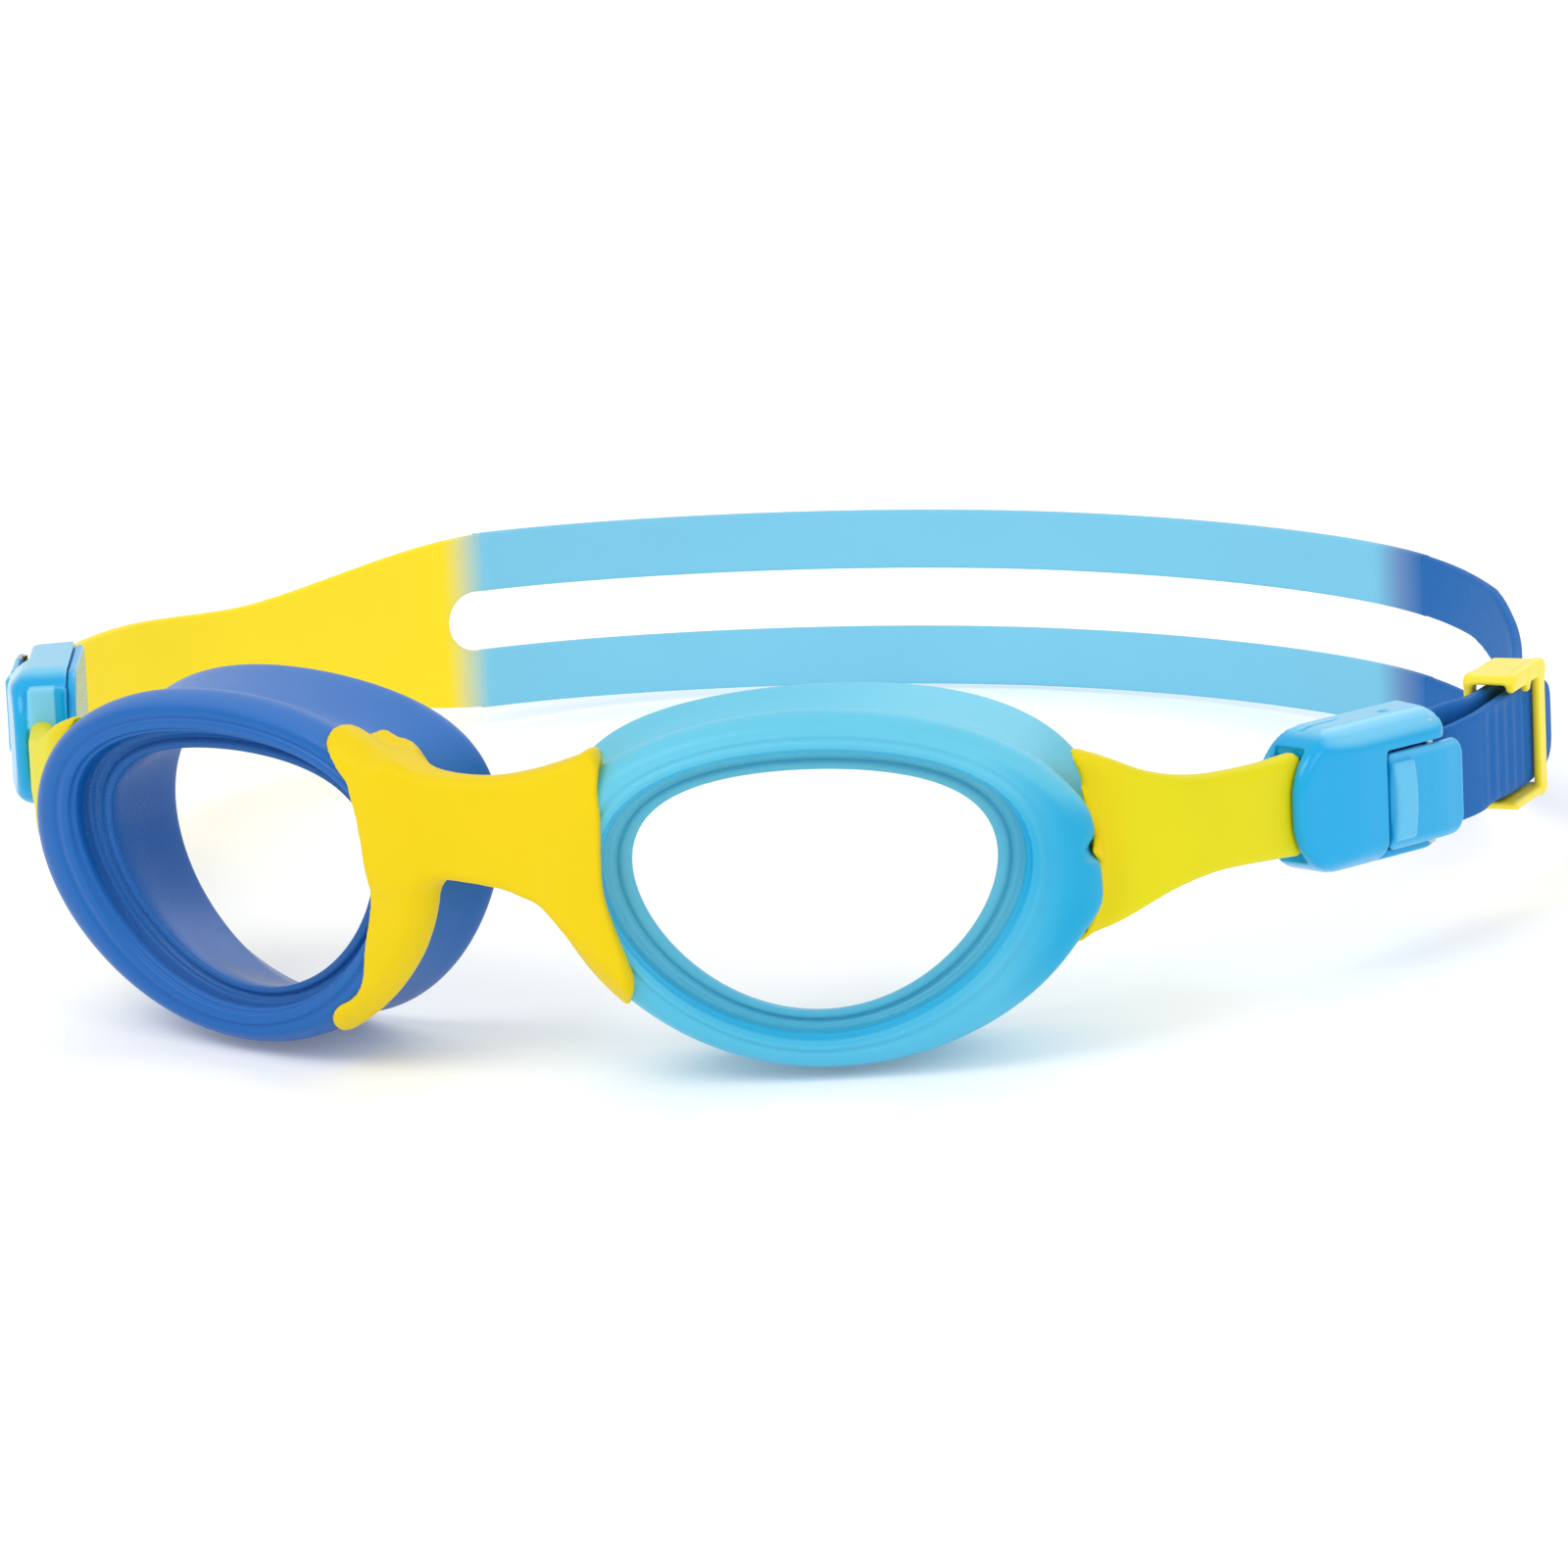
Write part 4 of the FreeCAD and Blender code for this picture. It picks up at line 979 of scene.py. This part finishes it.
def make_lever(name, side, lift):
    step = 0.22
    (a, o, z), low = grid((-1.1, 1.7, -7.3), (13.1, 5.1, 4.8), step)
    low_z, high_z = -6.9, 4.5
    mid, half = (low_z + high_z) / 2, (high_z - low_z) / 2
    r = np.where(a[:, :1] > 6, 2.2, 0.6)
    qa = np.abs(a[:, :1] - 6.0) - (6.7 - r)
    qz = np.abs(z[:, :1] - mid) - (half - r)
    plane = np.hypot(np.maximum(qa, 0), np.maximum(qz, 0)) + np.minimum(np.maximum(qa, qz), 0) - r
    curl = 3.75 - 0.5 * smooth_step(a, 8, 12.8)
    plate = smax(plane, np.abs(o - curl) - 0.5, 0.5)
    bend = 0.4 * smooth_step(np.abs(z - mid), 1, 5)
    ridge = rounded_box(a + bend, o, z, (-0.2, 3.6, low_z + 1.1), (3.4, 5.0, high_z - 1.1), 0.45)
    pawl = rounded_box(a, o, z, (9.6, 1.85, low_z + 2), (10.7, 3.6, high_z - 2), 0.2)
    barrel = np.hypot(a - LEVER_AT, o - LEVER_OUT) - 1.2
    barrel = smax(barrel, np.abs(z - mid) - (half - 0.6), 0.3)
    barrel = np.maximum(barrel, o - 4.1)
    field = smin(smin(smin(plate, ridge, 0.5), pawl, 0.3), barrel, 0.4)
    vertices, faces = surface_net(field, low, step)
    vertices = relax(vertices, faces, 2)
    placed = row(in_buckle(vertices * net_sides(side)), side, lift)
    piece = new_mesh("moulded_lever_" + name, placed, faces, look["buckle_cyan"])
    raised_face = smooth_step(vertices[:, 1], 4.3, 4.8) * 0.5
    border = smooth_step(np.abs(vertices[:, 2] - mid), half - 1.1, half - 0.3) * 0.35
    tint(piece, np.maximum(raised_face, border) + 0.05)
    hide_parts("release_lever_" + name)
    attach(piece, "lever_" + name)


for label, sign, raised in (("left", 1, 0.0), ("right", -1, RIGHT_LIFT)):
    make_housing(label, sign, raised)
    make_cover(label, sign, raised)
    make_lever(label, sign, raised)

# ---- keeper ----------------------------------------------------------------------------------------
KEEPER_AT = 33.5
KEEPER_RAISE = 0.2


def make_keeper():
    step = 0.22
    (a, o, z), low = grid((-6.6, -3.3, -8.3), (6.6, 3.3, 8.3), step)
    top = rounded_box(a, o, z, (-6.4, -3.1, 7.0), (6.4, 3.1, 8.1), 0.35)
    bottom = rounded_box(a, o, z, (-6.4, -3.1, -8.1), (6.4, 3.1, -7.0), 0.35)
    front_bar = rounded_box(a, o, z, (-6.4, -3.1, -8.1), (-3.8, -2.15, 8.1), 0.3)
    rear_bar = rounded_box(a, o, z, (3.8, 2.15, -8.1), (6.4, 3.1, 8.1), 0.3)
    lintel = rounded_box(a, o, z, (-6.4, 2.15, 6.1), (6.4, 3.1, 8.1), 0.3)
    tooth = rounded_box(a, o, z, (-0.6, 2.15, 5.2), (0.6, 3.1, 8.0), 0.3)
    body = top
    for more in (bottom, front_bar, rear_bar, lintel, tooth):
        body = smin(body, more, 0.6)
    chamfer = (np.abs(a) + np.abs(z) - 13.7) / math.sqrt(2)
    body = smax(body, chamfer, 0.3)
    vertices, faces = surface_net(body, low, step)
    vertices = relax(vertices, faces, 2)
    place_x, place_y = [np.interp(KEEPER_AT, LOOP_S, LOOP_P[:, i]) for i in (0, 1)]
    out_x, out_y = [np.interp(KEEPER_AT, LOOP_S, LOOP_OUT[:, i]) for i in (0, 1)]
    middle = np.array([place_x, place_y, STRAP_MID + KEEPER_RAISE])
    along = np.array([-out_y, out_x, 0])
    outward = np.array([out_x, out_y, 0])
    points = middle + vertices[:, :1] * along + vertices[:, 1:2] * outward + vertices[:, 2:] * UP
    piece = new_mesh("moulded_keeper", row(points), faces, look["slide_yellow"])
    # Painted highlight: the keeper's top face takes the paler yellow, as if catching the light from above.
    tint(piece, smooth_step(vertices[:, 2], 7.6, 8.2) * 0.6)
    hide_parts("strap_slide")
    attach(piece, "slide")


make_keeper()

# ---- pins, posts and springs keep their own solids, in steel -----------------------------------------
for node, thing in frame["nodes"].items():
    if node.split("_")[0] == "lever" or "pin" in node or "post" in node:
        thing.data.materials.clear()
        thing.data.materials.append(look["steel_pin"])

# ---- floor and light --------------------------------------------------------------------------------


def make_stage():
    mesh = bpy.data.meshes.new("floor")
    w, low = 6.0, -0.0004
    mesh.from_pydata([(-w, -w, low), (w, -w, low), (w, w, low), (-w, w, low)], [], [(0, 1, 2, 3)])
    floor = bpy.data.objects.new("floor", mesh)
    scene.collection.objects.link(floor)
    material = bpy.data.materials.new("floor_look")
    material.use_nodes = True
    shader = material.node_tree.nodes["Principled BSDF"]
    shader.inputs["Base Color"].default_value = (0.97, 0.97, 0.97, 1)
    shader.inputs["Emission Color"].default_value = (1, 1, 1, 1)
    shader.inputs["Emission Strength"].default_value = 0.12
    shader.inputs["Roughness"].default_value = 0.9
    shader.inputs["Specular IOR Level"].default_value = 0.1
    mesh.materials.append(material)
    world = bpy.data.worlds.new("studio")
    world.use_nodes = True
    world.node_tree.nodes["Background"].inputs["Color"].default_value = (1, 1, 1, 1)
    world.node_tree.nodes["Background"].inputs["Strength"].default_value = 0.82
    scene.world = world
    lamps = (("key", (-0.5, -0.9, 1.3), 0.9, 6.5), ("fill", (1.1, -0.6, 0.8), 0.8, 2.2),
             ("rim", (0.1, 1.2, 0.9), 1.0, 3.0))
    for name, place, size, power in lamps:
        lamp = bpy.data.lights.new(name, "AREA")
        lamp.shape = "DISK"
        lamp.size = size
        lamp.energy = power
        light = bpy.data.objects.new(name, lamp)
        light.location = place
        light.rotation_euler = (Vector((0, 0, 0.02)) - Vector(place)).to_track_quat("-Z", "Y").to_euler()
        scene.collection.objects.link(light)
    scene.view_settings.view_transform = "Standard"


make_stage()
